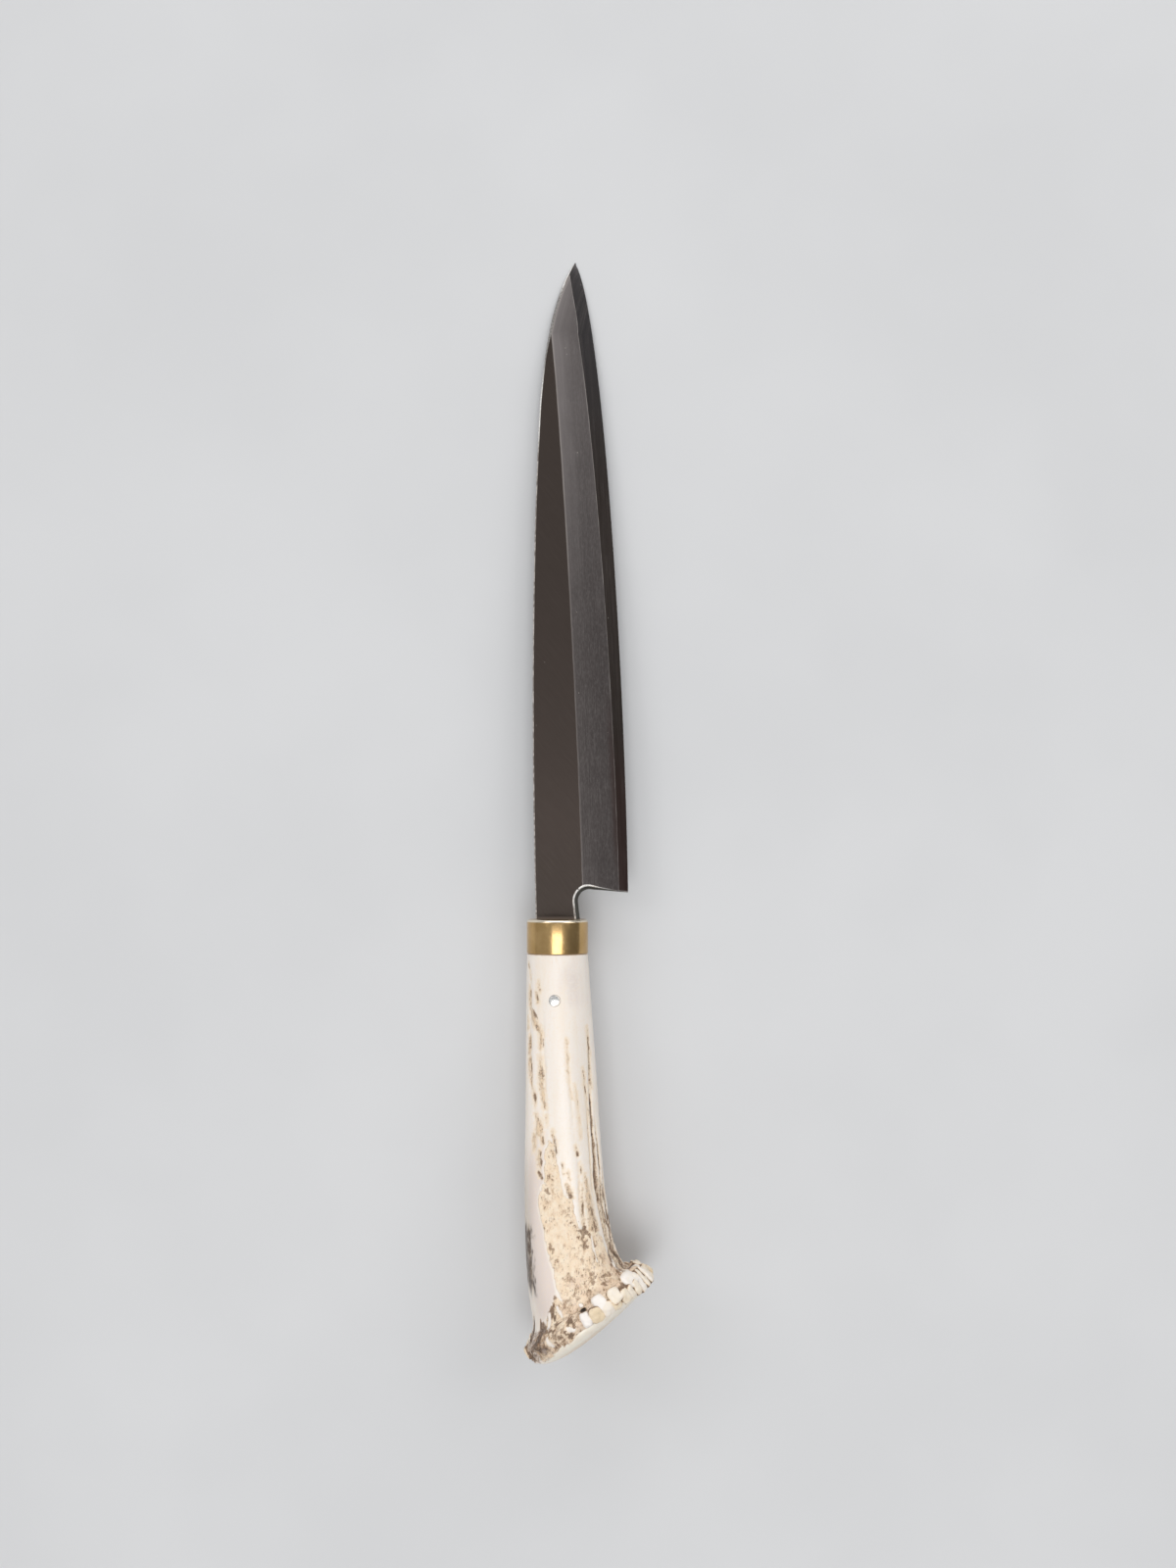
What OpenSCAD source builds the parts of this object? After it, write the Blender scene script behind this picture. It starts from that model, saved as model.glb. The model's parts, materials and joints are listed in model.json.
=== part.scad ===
// Single-bevel slicing and boning knife: a laminated blade in a stag crown handle.
// While it is drawn, the knife has its origin at the centre of the ferrule's front face,
// with +Y to the tip, +X to the cutting edge and +Z out of the bevelled side.
// lay_down() then rests the whole knife on its tip and on the burr of the antler.

/* [Blade] */
// Length from the ferrule to the tip
blade_len = 200; // [180:1:220]
// Thickness of the spine at the ferrule
spine_t = 3.2; // [2.8:0.1:3.8]
// Thickness where the ridge line runs out into the spine, near the tip
tip_t = 1.8; // [1.5:0.1:2.2]
// Thickness left at the cutting edge
edge_t = 0.12; // [0.08:0.02:0.2]
// Bevel along both top corners of the spine
spine_chamfer = 0.35; // [0.2:0.05:0.5]
// Slant of the heel notch's wall, from the upper to the lower face
notch_slant = 1.2; // [0.4:0.1:1.6]

/* [Hard steel layer] */
// Thickness of the hard steel on the flat back
steel_t = 0.75; // [0.6:0.05:0.9]
// Greatest depth of the hollow ground into the back
hollow_depth = 0.3; // [0.15:0.05:0.4]
// Width of the flat rim left around the hollow
hollow_rim = 2.4; // [1.8:0.2:3.4]

/* [Tang] */
// Length of the tang behind the ferrule's face
tang_len = 95; // [70:1:98]
// Width of the tang in the ferrule
tang_w = 10.8; // [9:0.2:11]
// Width of the tang at its end
tang_end_w = 5; // [4:0.5:7]
// Thickness of the tang
tang_t = 3; // [2.6:0.1:3]
// Resin around the tang, on each side
bedding_gap = 1; // [0.6:0.1:1.2]

/* [Ferrule] */
// Outer diameter
ferrule_d = 18.2; // [17.4:0.1:19]
// Length
ferrule_len = 10; // [8:0.5:12]
// Wall thickness
ferrule_wall = 1.2; // [0.8:0.1:1.4]
// Thickness of the front plate
ferrule_plate = 1.5; // [1:0.1:2]
// Radius of the rounded front shoulder
ferrule_round = 1; // [0.5:0.1:1.2]
// Clearance of the slot around the tang
slot_gap = 0.25; // [0.15:0.05:0.4]

/* [Pin] */
// Diameter of the pin through the handle and the tang
pin_d = 3.2; // [2.5:0.1:4]
// Distance from the ferrule's face to the pin
pin_back = 23.3; // [18:0.1:30]

/* [Handle] */
// Facets around the antler
around = 128; // [96:8:136]
// Depth of the lengthwise gutters, as a share of the natural depth
gutter_share = 1; // [0:0.1:1.2]
// Height of the pearls around the burr
pearl_h = 1.1; // [0:0.1:1.4]
// Number of pearls around the burr
pearls = 30; // [20:1:32]
// Height of the domed butt face
butt_dome = 3.9; // [2:0.1:5]

/* [Hidden] */
$fn = 64;
past = 1;               // how far a cutting shape runs past what it cuts
back_z = -spine_t / 2;  // height of the flat back
stretch = blade_len / 200;

// Control points [x, y] of the blade's three lines, drawn for a blade of 200 mm.
SPINE_BODY = [[-6.4, 0], [-8, 55], [-8, 110], [-5.45, 156]];
SPINE_TIP = [[-5.45, 156], [-4.2, 170], [-2.6, 188], [4.95, 200]];
EDGE = [[21, 8.4], [20, 79], [13, 188], [4.95, 200]];
RIDGE = [[7.7, 0], [6, 60], [1, 150], [-2.4, 180]];

function bezier(p, t) = pow(1 - t, 3) * p[0] + 3 * pow(1 - t, 2) * t * p[1]
    + 3 * (1 - t) * t * t * p[2] + pow(t, 3) * p[3];
function curve(p, n) = [for (i = [0 : n]) let (q = bezier(p, i / n)) [q[0], q[1] * stretch]];
function tail(list) = [for (i = [1 : len(list) - 1]) list[i]];
function turned(list) = [for (i = [len(list) - 1 : -1 : 0]) list[i]];
function by_y(line) = [for (p = line) [p[1], p[0]]];
function at(xy, z) = [xy[0], xy[1], z];

spine_line = concat(curve(SPINE_BODY, 14), tail(curve(SPINE_TIP, 10)));
edge_line = curve(EDGE, 24);
ridge_line = curve(RIDGE, 16);
tip = [4.95, blade_len];
ridge_end = ridge_line[len(ridge_line) - 1][1];

// Thickness of the flat side at y, and of the spine, which thins to the edge beyond the ridge.
function flat_t(y) = spine_t - (spine_t - tip_t) * y / ridge_end;
function spine_top(y) = y < ridge_end ? flat_t(y)
    : edge_t + (tip_t - edge_t) * pow((blade_len - y) / (blade_len - ridge_end), 0.6);

// --- blade ---------------------------------------------------------------------------------

shoulder_y = 0.5;       // the neck stops here, just in front of the ferrule
heel_y = EDGE[0][1] * stretch;

// Outline of the blade seen square to its back, before the heel notch is cut.
blade_outline = concat([[SPINE_BODY[0][0], shoulder_y]], tail(spine_line), turned(edge_line),
    [[EDGE[0][0], shoulder_y]]);

// Everything below the upper faces: the flat side, the bevel and the chamfered spine.
// It runs past the outline on all sides, so the outline alone sets the blade's walls.
module below_upper_faces() {
    crown = concat(
        [for (p = ridge_line) at(p, back_z + flat_t(p[1]))],
        [for (p = spine_line) at(p + [spine_chamfer, 0], back_z + spine_top(p[1]))],
        [for (p = spine_line) at(p - [past, 0], back_z + spine_top(p[1]) - spine_chamfer - past)],
        [for (i = [0 : len(edge_line) - 1]) let (e = edge_line[i], r = bezier(RIDGE, i / (len(edge_line) - 1)),
            inner = at([r[0], r[1] * stretch], back_z + flat_t(r[1] * stretch)), outer = at(e, back_z + edge_t))
            outer + (outer - inner) * 0.06],
        [at([EDGE[0][0] + past, -past], back_z + edge_t)]);
    floor_z = back_z - 2 * past;
    points = concat(crown, [for (p = crown) [p[0], p[1], floor_z]]);
    hull() polyhedron(points, [[for (i = [0 : len(points) - 1]) i]]);
}

// The notch between heel and ferrule, a round corner with a slanted wall.
corner_r = 4.65;
corner = [9.5, 5.4] * stretch;
function notch_outline(shrink) = let (r = corner_r - shrink) concat(
    [[EDGE[0][0] + 2 * past, heel_y - 0.1], [EDGE[0][0] + 2 * past, -past], [5.8 + shrink, -past]],
    [[corner[0] - r + 0.35, 1.9]],
    [for (a = [180 : -10 : 80]) corner + r * [cos(a), sin(a)]]);
module heel_notch() {
    hull() {
        translate([0, 0, back_z + spine_t]) linear_extrude(0.01) polygon(notch_outline(0));
        translate([0, 0, back_z - 0.01]) linear_extrude(0.01) polygon(notch_outline(notch_slant));
    }
}

module blade_blank() {
    difference() {
        intersection() {
            translate([0, 0, back_z]) linear_extrude(spine_t + past) polygon(blade_outline);
            below_upper_faces();
        }
        heel_notch();
    }
}

// The hard steel covers the back from a straight weld at the heel to the tip.
module steel_zone() {
    translate([0, 0, back_z - past]) linear_extrude(steel_t + past)
        polygon([[-12, heel_y + 2.6], [EDGE[0][0] + past, heel_y - 0.1],
            [EDGE[0][0] + past, blade_len + past], [-12, blade_len + past]]);
}

// The shallow hollow in the back: an arc across, as wide as the rim leaves it at each place.
module back_hollow() {
    first = 14 * stretch;
    last = blade_len - 10;
    rows = 22;
    spine_x = by_y(spine_line);
    edge_x = by_y(turned(edge_line));
    widest = lookup(first, edge_x) - lookup(first, spine_x);
    dish = [for (i = [0 : rows], s = [-1.05 : 0.3 : 1.05]) let (y = first + (last - first) * i / rows,
        left = lookup(y, spine_x) + hollow_rim, right = lookup(y, edge_x) - hollow_rim,
        w = max(right - left, 0.1), ends = sqrt(1 - pow(2 * i / rows - 1, 8)))
        [(left + right) / 2 + s * w / 2, y, back_z + hollow_depth * pow(w / widest, 2) * ends * (1 - s * s)]];
    points = concat(dish, [for (p = dish) [p[0], p[1], back_z - past]]);
    hull() polyhedron(points, [[for (i = [0 : len(points) - 1]) i]]);
}

// --- tang, pin and bedding -----------------------------------------------------------------

tang_x = -0.1;          // middle of the tang
pin_at = [-0.6, -pin_back];
function taper(w, end_w, front, back) = [[tang_x - w / 2, front], [tang_x + w / 2, front],
    [tang_x + end_w / 2, back], [tang_x - end_w / 2, back]];

module tang() {
    translate([0, 0, -tang_t / 2]) linear_extrude(tang_t)
        polygon(taper(tang_w, tang_end_w, shoulder_y + past, -tang_len));
}

module tang_socket(front) {
    translate([0, 0, -tang_t / 2 - bedding_gap]) linear_extrude(tang_t + 2 * bedding_gap)
        polygon(taper(tang_w + bedding_gap, tang_end_w + 2 * bedding_gap, front, -tang_len - 2));
}

module pin_hole() {
    translate([pin_at[0], pin_at[1], -30]) cylinder(d = pin_d, h = 60);
}

// --- antler --------------------------------------------------------------------------------

// The antler is a loft of rings. Each row gives a ring's left point, its right point, half its
// depth and how far its top leans to the tip, in degrees. The left side is the spine's side.
RINGS = [
    [-9.0, -10, 9.0, -10, 9.0, 0],
    [-9.3, -32, 10.5, -32, 9.3, 0],
    [-9.6, -58, 12.0, -56, 9.8, 0],
    [-9.8, -79, 13.6, -76, 10.6, 1],
    [-9.4, -95, 15.6, -90, 12.0, 2],
    [-8.4, -108, 18.0, -98, 13.8, 3],
    [-7.0, -117.6, 20.9, -101.3, 15.6, 4],
    [-8.2, -121.6, 23.5, -100.0, 18.0, 6],
    [-8.8, -125.2, 27.0, -102.0, 19.6, 8],
    [-7.1, -127.9, 28.4, -104.4, 19.2, 10]];
valley = 6;             // row at the foot of the burr
lip = 8;                // row at the widest place of the burr
rim = 9;                // row where the burr meets the butt face

// Gutters: angle on the ring, half-width in degrees, depth, first and last row, and how far the
// angle has moved at the last row. The wide one is the bed of bark on the upper side.
GUTTERS = [
    [33, 3.5, 0.9, 1.1, 6.2, -30], [44, 3, 0.45, 1.4, 3.6, -6], [22, 3.5, 0.7, 1.8, 6.3, -20],
    [10, 4, 0.6, 2.4, 6.4, -14], [66, 3, 0.35, 2.2, 4.4, 0], [74, 3, 0.2, 0.9, 2.8, -10],
    [97, 20, 0.4, 2.3, 7.8, 0], [118, 3, 0.25, 0.4, 2.4, -6], [134, 3, 0.3, 1.6, 2.9, -6],
    [149, 4, 0.5, 0.1, 1.9, -10], [152, 6, 0.4, 3.0, 5.4, 2], [170, 4, 0.5, 0.4, 4.2, -6],
    [-6, 5, 0.7, 0.8, 6.6, 0], [-24, 5, 0.7, 0.4, 6.6, 0], [-44, 5, 0.5, 1.0, 6.5, -6],
    [-62, 6, 0.7, 0.6, 6.8, -4], [-84, 5, 0.6, 1.4, 6.6, 0], [-104, 6, 0.6, 0.5, 6.7, 4],
    [-126, 5, 0.5, 1.2, 6.4, 8], [-146, 6, 0.6, 0.7, 6.8, 8], [-166, 4, 0.4, 0.5, 6.2, 4]];

function spline(rows, u) = let (i = min(floor(u), len(rows) - 2), f = u - i,
    a = rows[max(i - 1, 0)], b = rows[i], c = rows[i + 1], d = rows[min(i + 2, len(rows) - 1)])
    (2 * b + (c - a) * f + (2 * a - 5 * b + 4 * c - d) * f * f + (3 * b - a - 3 * c + d) * pow(f, 3)) / 2;
function ease(x) = let (k = min(max(x, 0), 1)) k * k * (3 - 2 * k);
function between(u, first, last, soft) = ease((u - first) / soft) * ease((last - u) / soft);
function angle_gap(a, b) = let (d = abs(a - b) % 360) min(d, 360 - d);
function cut(u, angle) = [for (g = GUTTERS) let (way = (u - g[3]) / (g[4] - g[3]))
    g[2] * between(u, g[3], g[4], 0.8) * exp(-pow(angle_gap(angle, g[0] + g[5] * pow(way, 3)) / g[1], 2))];
function sum(list) = list * [for (v = list) 1];
function pearl_bump(i, u, angle) = let (step = 360 / pearls,
    way = angle_gap(angle, step * (i + 0.3 * sin(137 * i))) / (0.52 * step),
    row = (u - lip + 0.35 * sin(211 * i)) / 0.75)
    (0.8 + 0.35 * sin(97 * i + 20)) * exp(-pow(way * way + row * row, 1.6));
function pearl(u, angle) = pearl_h * (sum([for (i = [0 : pearls - 1]) pearl_bump(i, u, angle)])
    - 0.6 * between(u, valley, rim + 0.6, 0.8));
function relief(u, angle) = pearl(u, angle) - gutter_share * sum(cut(u, angle))
    + 0.25 * between(u, 0.6, 6, 1) * sin(5 * angle + 35 * u);

function ring_frame(row) = let (span = [row[2] - row[0], row[3] - row[1], 0], width = norm(span),
    right = span / width, back = [right[1], -right[0], 0], lean = row[5])
    [[(row[0] + row[2]) / 2, (row[1] + row[3]) / 2, 0], right, [0, 0, cos(lean)] - back * sin(lean),
        back * cos(lean) + [0, 0, sin(lean)], width / 2, row[4]];
function ring_point(u, angle) = let (f = ring_frame(spline(RINGS, u)), r = relief(u, angle))
    f[0] + f[1] * cos(angle) * (f[4] + r) + f[2] * sin(angle) * (f[5] + r);
function dome_point(rise, angle) = let (f = ring_frame(RINGS[rim]), r = relief(rim, angle) * cos(rise))
    f[0] + f[1] * cos(angle) * (f[4] * cos(rise) + r) + f[2] * sin(angle) * (f[5] * cos(rise) + r)
    + f[3] * butt_dome * sin(rise) * (1 - 0.55 * cos(rise) * cos(angle));

beam_rows = [for (u = [0 : 0.25 : valley]) u];
burr_rows = [for (u = [valley + 0.25 : 0.25 : rim]) u];
dome_rises = [12, 26, 42, 60, 76];
angles = [for (i = [0 : around - 1]) i * 360 / around];
antler_points = concat(
    [for (u = concat(beam_rows, burr_rows), a = angles) ring_point(u, a)],
    [for (rise = dome_rises, a = angles) dome_point(rise, a)],
    [dome_point(90, 0)]);
rings = len(beam_rows) + len(burr_rows) + len(dome_rises);
antler_faces = concat(
    [[for (i = [0 : around - 1]) i]],
    [for (k = [0 : rings - 2], i = [0 : around - 1], half = [0, 1]) let (j = (i + 1) % around,
        a = k * around + i, b = k * around + j, c = a + around, d = b + around)
        half == 0 ? [a, c, d] : [a, d, b]],
    [for (i = [0 : around - 1]) [(rings - 1) * around + i, rings * around,
        (rings - 1) * around + (i + 1) % around]]);

spigot_d = ferrule_d - 2 * ferrule_wall;

// --- resting place -------------------------------------------------------------------------

// The knife turns about X until the line under its tip and its burr is level. The row's origin
// is then the middle of the whole knife's box, on the surface that it lies on.
rest_tilt = max([for (p = antler_points) atan2(back_z - p[2], blade_len - p[1])]);
function rested(p) = [p[0], p[1] * cos(rest_tilt) + p[2] * sin(rest_tilt),
    p[2] * cos(rest_tilt) - p[1] * sin(rest_tilt)];
rested_antler = [for (p = antler_points) rested(p)];
rested_tip = rested([tip[0], tip[1], back_z]);
high_tip = rested([tip[0], tip[1], back_z + edge_t]);
middle_x = (min([for (p = rested_antler) p[0]]) + max([for (p = rested_antler) p[0]])) / 2;
middle_y = (min([for (p = rested_antler) p[1]]) + high_tip[1]) / 2;

module lay_down() {
    translate([-middle_x, -middle_y, -rested_tip[2]]) rotate([-rest_tilt, 0, 0]) children();
}

// --- the pieces ----------------------------------------------------------------------------

module blade_iron() {
    color([0.36, 0.34, 0.33]) lay_down() difference() {
        union() {
            difference() {
                blade_blank();
                steel_zone();
            }
            tang();
        }
        pin_hole();
    }
}

module edge_steel() {
    color([0.45, 0.42, 0.41]) lay_down() difference() {
        intersection() {
            blade_blank();
            steel_zone();
        }
        back_hollow();
    }
}

module ferrule() {
    outer = ferrule_d / 2;
    shoulder = [for (a = [0 : 15 : 90]) [outer - ferrule_round + ferrule_round * sin(a),
        -ferrule_round + ferrule_round * cos(a)]];
    profile = concat([[0, 0]], shoulder, [[outer, -ferrule_len], [spigot_d / 2, -ferrule_len],
        [spigot_d / 2, -ferrule_plate], [0, -ferrule_plate]]);
    color([0.72, 0.56, 0.28]) lay_down() difference() {
        rotate([-90, 0, 0]) rotate_extrude() polygon(profile);
        translate([tang_x, -ferrule_plate / 2, 0])
            cube([tang_w + 2 * slot_gap, ferrule_plate + 2 * past, tang_t + 2 * slot_gap], center = true);
    }
}

module antler_handle() {
    color([0.93, 0.88, 0.8]) lay_down() difference() {
        union() {
            polyhedron(antler_points, antler_faces);
            translate([0, -ferrule_len - past, 0]) rotate([-90, 0, 0])
                cylinder(d = spigot_d, h = ferrule_len + past - ferrule_plate);
        }
        tang_socket(past);
        pin_hole();
    }
}

module tang_pin() {
    color([0.8, 0.8, 0.8]) lay_down() intersection() {
        pin_hole();
        translate([0, pin_at[1], 0]) rotate([90, 0, 0]) cylinder(r = 9.3, h = 2 * pin_d, center = true);
    }
}

module tang_bedding() {
    color([0.3, 0.22, 0.15]) lay_down() difference() {
        tang_socket(-ferrule_plate);
        tang();
        pin_hole();
    }
}

blade_iron();
edge_steel();
ferrule();
antler_handle();
tang_pin();
tang_bedding();
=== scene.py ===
# %% [markdown]
# # A single-bevel knife in a stag crown handle
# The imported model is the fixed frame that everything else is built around. It is loaded first, and
# its box is kept, because the finished pieces must have the same size as the model they dress.
# Whatever else a new scene holds, such as a default cube or lamp, is removed.

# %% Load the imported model
import itertools
import json
import math

import bmesh
import bpy
import numpy as np
from mathutils import Matrix, Vector

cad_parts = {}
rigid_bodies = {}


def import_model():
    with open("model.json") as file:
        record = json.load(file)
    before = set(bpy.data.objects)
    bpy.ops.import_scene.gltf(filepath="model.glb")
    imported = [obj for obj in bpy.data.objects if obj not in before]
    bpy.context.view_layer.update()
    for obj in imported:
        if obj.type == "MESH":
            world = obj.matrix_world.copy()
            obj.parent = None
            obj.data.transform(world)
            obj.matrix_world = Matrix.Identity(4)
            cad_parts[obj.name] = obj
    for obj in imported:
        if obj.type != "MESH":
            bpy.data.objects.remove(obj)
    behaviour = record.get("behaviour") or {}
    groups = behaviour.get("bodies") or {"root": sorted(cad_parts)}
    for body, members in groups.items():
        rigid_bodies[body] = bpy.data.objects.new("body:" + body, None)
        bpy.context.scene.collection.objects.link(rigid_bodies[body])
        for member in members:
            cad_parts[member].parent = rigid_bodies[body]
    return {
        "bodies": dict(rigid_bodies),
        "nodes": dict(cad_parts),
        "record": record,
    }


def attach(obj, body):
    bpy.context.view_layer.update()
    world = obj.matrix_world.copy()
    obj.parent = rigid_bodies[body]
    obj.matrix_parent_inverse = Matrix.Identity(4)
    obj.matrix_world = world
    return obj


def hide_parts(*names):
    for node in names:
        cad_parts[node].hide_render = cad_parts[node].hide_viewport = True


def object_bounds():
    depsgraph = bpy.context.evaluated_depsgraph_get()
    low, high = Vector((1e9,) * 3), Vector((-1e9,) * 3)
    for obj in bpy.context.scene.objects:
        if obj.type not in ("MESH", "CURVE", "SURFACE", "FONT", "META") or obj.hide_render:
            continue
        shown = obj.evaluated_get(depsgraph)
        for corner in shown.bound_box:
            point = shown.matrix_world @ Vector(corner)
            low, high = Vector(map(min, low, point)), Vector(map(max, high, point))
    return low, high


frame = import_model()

for leftover in [o for o in bpy.data.objects if o.parent is None and o not in frame["bodies"].values()]:
    bpy.data.objects.remove(leftover)

MM = 0.001
cad_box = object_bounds()
print("model box in mm:", [[round(c / MM, 1) for c in corner] for corner in cad_box])

# %% [markdown]
# The knife lies on its tip and on the burr of its handle, so it is tilted by a few degrees. A maker
# draws it square instead, with the middle of the ferrule's face as origin, +Y to the tip, +X to the
# edge and +Z out of the bevelled side. Every piece below is drawn in millimetres in that way and is
# then laid down by one matrix. The record's grip mount gives that matrix: in the drawing it lies at
# GRIP_POINT, and its axis points to the tip.

# %% From the maker's drawing to the frame
GRIP_POINT = np.array([1.0, -55.0, 0.0])
grip = next(m for m in frame["record"]["mounts"] if m["name"] == "grip")
forward = np.array(grip["axis"])
across_knife = np.array([1.0, 0.0, 0.0])
upward = np.cross(across_knife, forward)
turn = np.column_stack([across_knife, forward, upward])
origin = np.array(grip["pos_m"]) - turn @ GRIP_POINT * MM
LAY_DOWN = Matrix.Translation(origin) @ Matrix(turn.tolist()).to_4x4() @ Matrix.Scale(MM, 4)
print("the knife's origin in mm:", (origin / MM).round(2), "tilt:",
      round(math.degrees(math.asin(-forward[2])), 2), "degrees")

# %% [markdown]
# Four kinds of helper serve all the pieces. `bezier` and `ease` draw lines and soft steps. `blobs`
# is a seeded noise in millimetres, for whatever nature made uneven. `new_mesh` and `loft` turn
# points into closed meshes. `cut_with` is a Boolean whose result is a plain mesh.

# %% Lines, soft steps and noise
def bezier(points, steps):
    """Points on a cubic curve of four control points."""
    p = np.array(points, float)
    t = np.linspace(0, 1, steps)[:, None]
    return ((1 - t) ** 3 * p[0] + 3 * (1 - t) ** 2 * t * p[1]
            + 3 * (1 - t) * t ** 2 * p[2] + t ** 3 * p[3])


def ease(x):
    """A soft step from 0 to 1 while x goes from 0 to 1."""
    k = np.clip(x, 0, 1)
    return k * k * (3 - 2 * k)


def between(u, first, last, soft):
    """1 from first to last, with a soft fall to 0 inside both ends."""
    return ease((u - first) / soft) * ease((last - u) / soft)


def lattice(cell, seed):
    """One number from 0 to 1 for each whole-numbered cell, the same at every run."""
    h = cell[:, 0] * 73856093 ^ cell[:, 1] * 19349663 ^ cell[:, 2] * 83492791 ^ (seed * 97 + 13)
    for _ in range(2):
        h = ((h ^ (h >> 15)) * 668265263) & 0xFFFFFFFF
    return (h ^ (h >> 16)) / 0xFFFFFFFF


def blobs(points, size, seed, layers=1):
    """Noise from -1 to 1 at points in mm. size is one blob's width, or its x, y and z widths. seed
    picks the pattern, and each further layer adds one of half the size."""
    total, loudness, loudest = 0, 1.0, 0.0
    for layer in range(layers):
        q = points * (2 ** layer) / (np.ones(3) * size) + 31.7 * (seed + layer)
        cell = np.floor(q).astype(np.int64)
        part = ease(q - cell)
        for corner in itertools.product((0, 1), repeat=3):
            share = np.prod(np.where(corner, part, 1 - part), axis=1)
            total = total + loudness * share * (2 * lattice(cell + corner, seed + 7 * layer) - 1)
        loudest += loudness
        loudness *= 0.55
    return total / loudest * 1.6


print("noise sample:", blobs(np.eye(3) * 5.3, 2.0, 1, 3).round(3))

# %% Meshes and Booleans
def new_mesh(name, points, faces):
    """A mesh object in drawing millimetres, with its normals turned outwards."""
    mesh = bpy.data.meshes.new(name)
    mesh.from_pydata([tuple(p) for p in points], [], [tuple(f) for f in faces])
    bm = bmesh.new()
    bm.from_mesh(mesh)
    bmesh.ops.recalc_face_normals(bm, faces=bm.faces)
    bm.to_mesh(mesh)
    bm.free()
    obj = bpy.data.objects.new(name, mesh)
    bpy.context.scene.collection.objects.link(obj)
    return obj


def strips(rings, n):
    """Four-sided faces that join each ring of n points to the next one."""
    return [(k + i, k + (i + 1) % n, k + n + (i + 1) % n, k + n + i)
            for k in range(0, (rings - 1) * n, n) for i in range(n)]


def loft(name, rings):
    """A closed skin through rings of as many points each, with a flat cap at both ends."""
    rows, n = len(rings), len(rings[0])
    caps = [tuple(range(n)), tuple(range((rows - 1) * n, rows * n))]
    return new_mesh(name, np.concatenate(rings), strips(rows, n) + caps)


def applied(obj):
    """Replaces an object's mesh by what its modifiers make of it."""
    graph = bpy.context.evaluated_depsgraph_get()
    graph.update()
    made = bpy.data.meshes.new_from_object(obj.evaluated_get(graph))
    obj.modifiers.clear()
    obj.data = made
    return obj


def cut_with(obj, tool, operation="DIFFERENCE"):
    boolean = obj.modifiers.new("cut", "BOOLEAN")
    boolean.operation = operation
    boolean.object = tool
    boolean.solver = "EXACT"
    return applied(obj)


def copy_of(obj, name):
    twin = bpy.data.objects.new(name, obj.data.copy())
    bpy.context.scene.collection.objects.link(twin)
    return twin


def scrap(*objs):
    for obj in objs:
        bpy.data.objects.remove(obj)


def points_of(mesh):
    co = np.empty(len(mesh.vertices) * 3)
    mesh.vertices.foreach_get("co", co)
    return co.reshape(-1, 3)


def note(mesh, name, values):
    """Writes one number per vertex, which a material can read by its name."""
    layer = mesh.attributes.get(name) or mesh.attributes.new(name, "FLOAT", "POINT")
    layer.data.foreach_set("value", np.asarray(values, np.float32))


def finish_piece(obj, materials, smooth_under=None):
    """Lays a drawn piece down in the frame, and gives it its materials and its smoothing. Edges
    sharper than smooth_under degrees stay sharp."""
    mesh = obj.data
    mesh.transform(LAY_DOWN)
    mesh.materials.clear()
    for material in materials:
        mesh.materials.append(material)
    mesh.shade_smooth()
    if smooth_under is not None:
        mesh.set_sharp_from_angle(angle=math.radians(smooth_under))
    mesh.update()
    triangles = sum(len(face.vertices) - 2 for face in mesh.polygons)
    print(obj.name, len(mesh.vertices), "points,", triangles, "triangles")

# %% [markdown]
# ## The blade
# A Japanese slicing blade is ground on one side only. Its upper face has a flat and a bevel, which
# meet along the ridge line, and its back is flat with a shallow hollow. Four lines drawn by the
# smith give the whole shape: spine, edge, ridge, and the thickness along them. So the blank is a
# loft: at every station along the length there is one cross-section, worked out from those lines.
# The corner along the spine is rubbed to a narrow facet.

# %% The smith's lines
BLADE_LEN = 200.0
SPINE_T, TIP_T, EDGE_T = 3.2, 1.8, 0.12     # thickness at the ferrule, where the ridge ends, at the edge
STEEL_T = 0.75                              # as much of it as is hard steel
BACK = -SPINE_T / 2                         # height of the flat back
SHOULDER, HEEL = 0.5, 8.4                   # y where the blade begins, and where its edge begins
SPINE_BODY = [[-6.4, 0], [-8, 55], [-8, 110], [-5.45, 156]]
SPINE_TIP = [[-5.45, 156], [-4.2, 170], [-2.6, 188], [4.95, 200]]
EDGE = [[21, 8.4], [20, 79], [13, 188], [4.95, 200]]
RIDGE = [[7.7, 0], [6, 60], [1, 150], [-2.4, 180]]
RIDGE_END = RIDGE[-1][1]
CORNER_W, WIDER_BY, DROP_STARTS = 0.35, 0.45, 168     # the facet, and where the spine drops

spine_line = np.concatenate([bezier(SPINE_BODY, 200), bezier(SPINE_TIP, 200)[1:]])
edge_line = bezier(EDGE, 400)
ridge_line = bezier(RIDGE, 300)


def spine_x(y):
    return np.interp(y, spine_line[:, 1], spine_line[:, 0])


def edge_x(y):
    return np.interp(y, edge_line[:, 1], edge_line[:, 0])


def chamfer(y):
    """Width of the rubbed facet along the spine: it widens where the spine drops to the tip."""
    return CORNER_W + WIDER_BY * between(y, DROP_STARTS, BLADE_LEN + 4, 12)


def top_z(y):
    """Height of the upper face beside the spine. Past the ridge it thins out to the tip."""
    along_ridge = SPINE_T - (SPINE_T - TIP_T) * y / RIDGE_END
    past = np.clip((BLADE_LEN - y) / (BLADE_LEN - RIDGE_END), 0, 1)
    to_point = EDGE_T + (TIP_T - EDGE_T) * past ** 0.6
    late = ease((y - RIDGE_END + 8) / 16)
    return BACK + along_ridge + (to_point - along_ridge) * late


def ridge_x(y):
    """The ridge line, which ends on the spine's facet."""
    drawn = np.interp(y, ridge_line[:, 1], ridge_line[:, 0])
    return np.maximum(drawn, spine_x(y) + chamfer(y) + 0.02)


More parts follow.
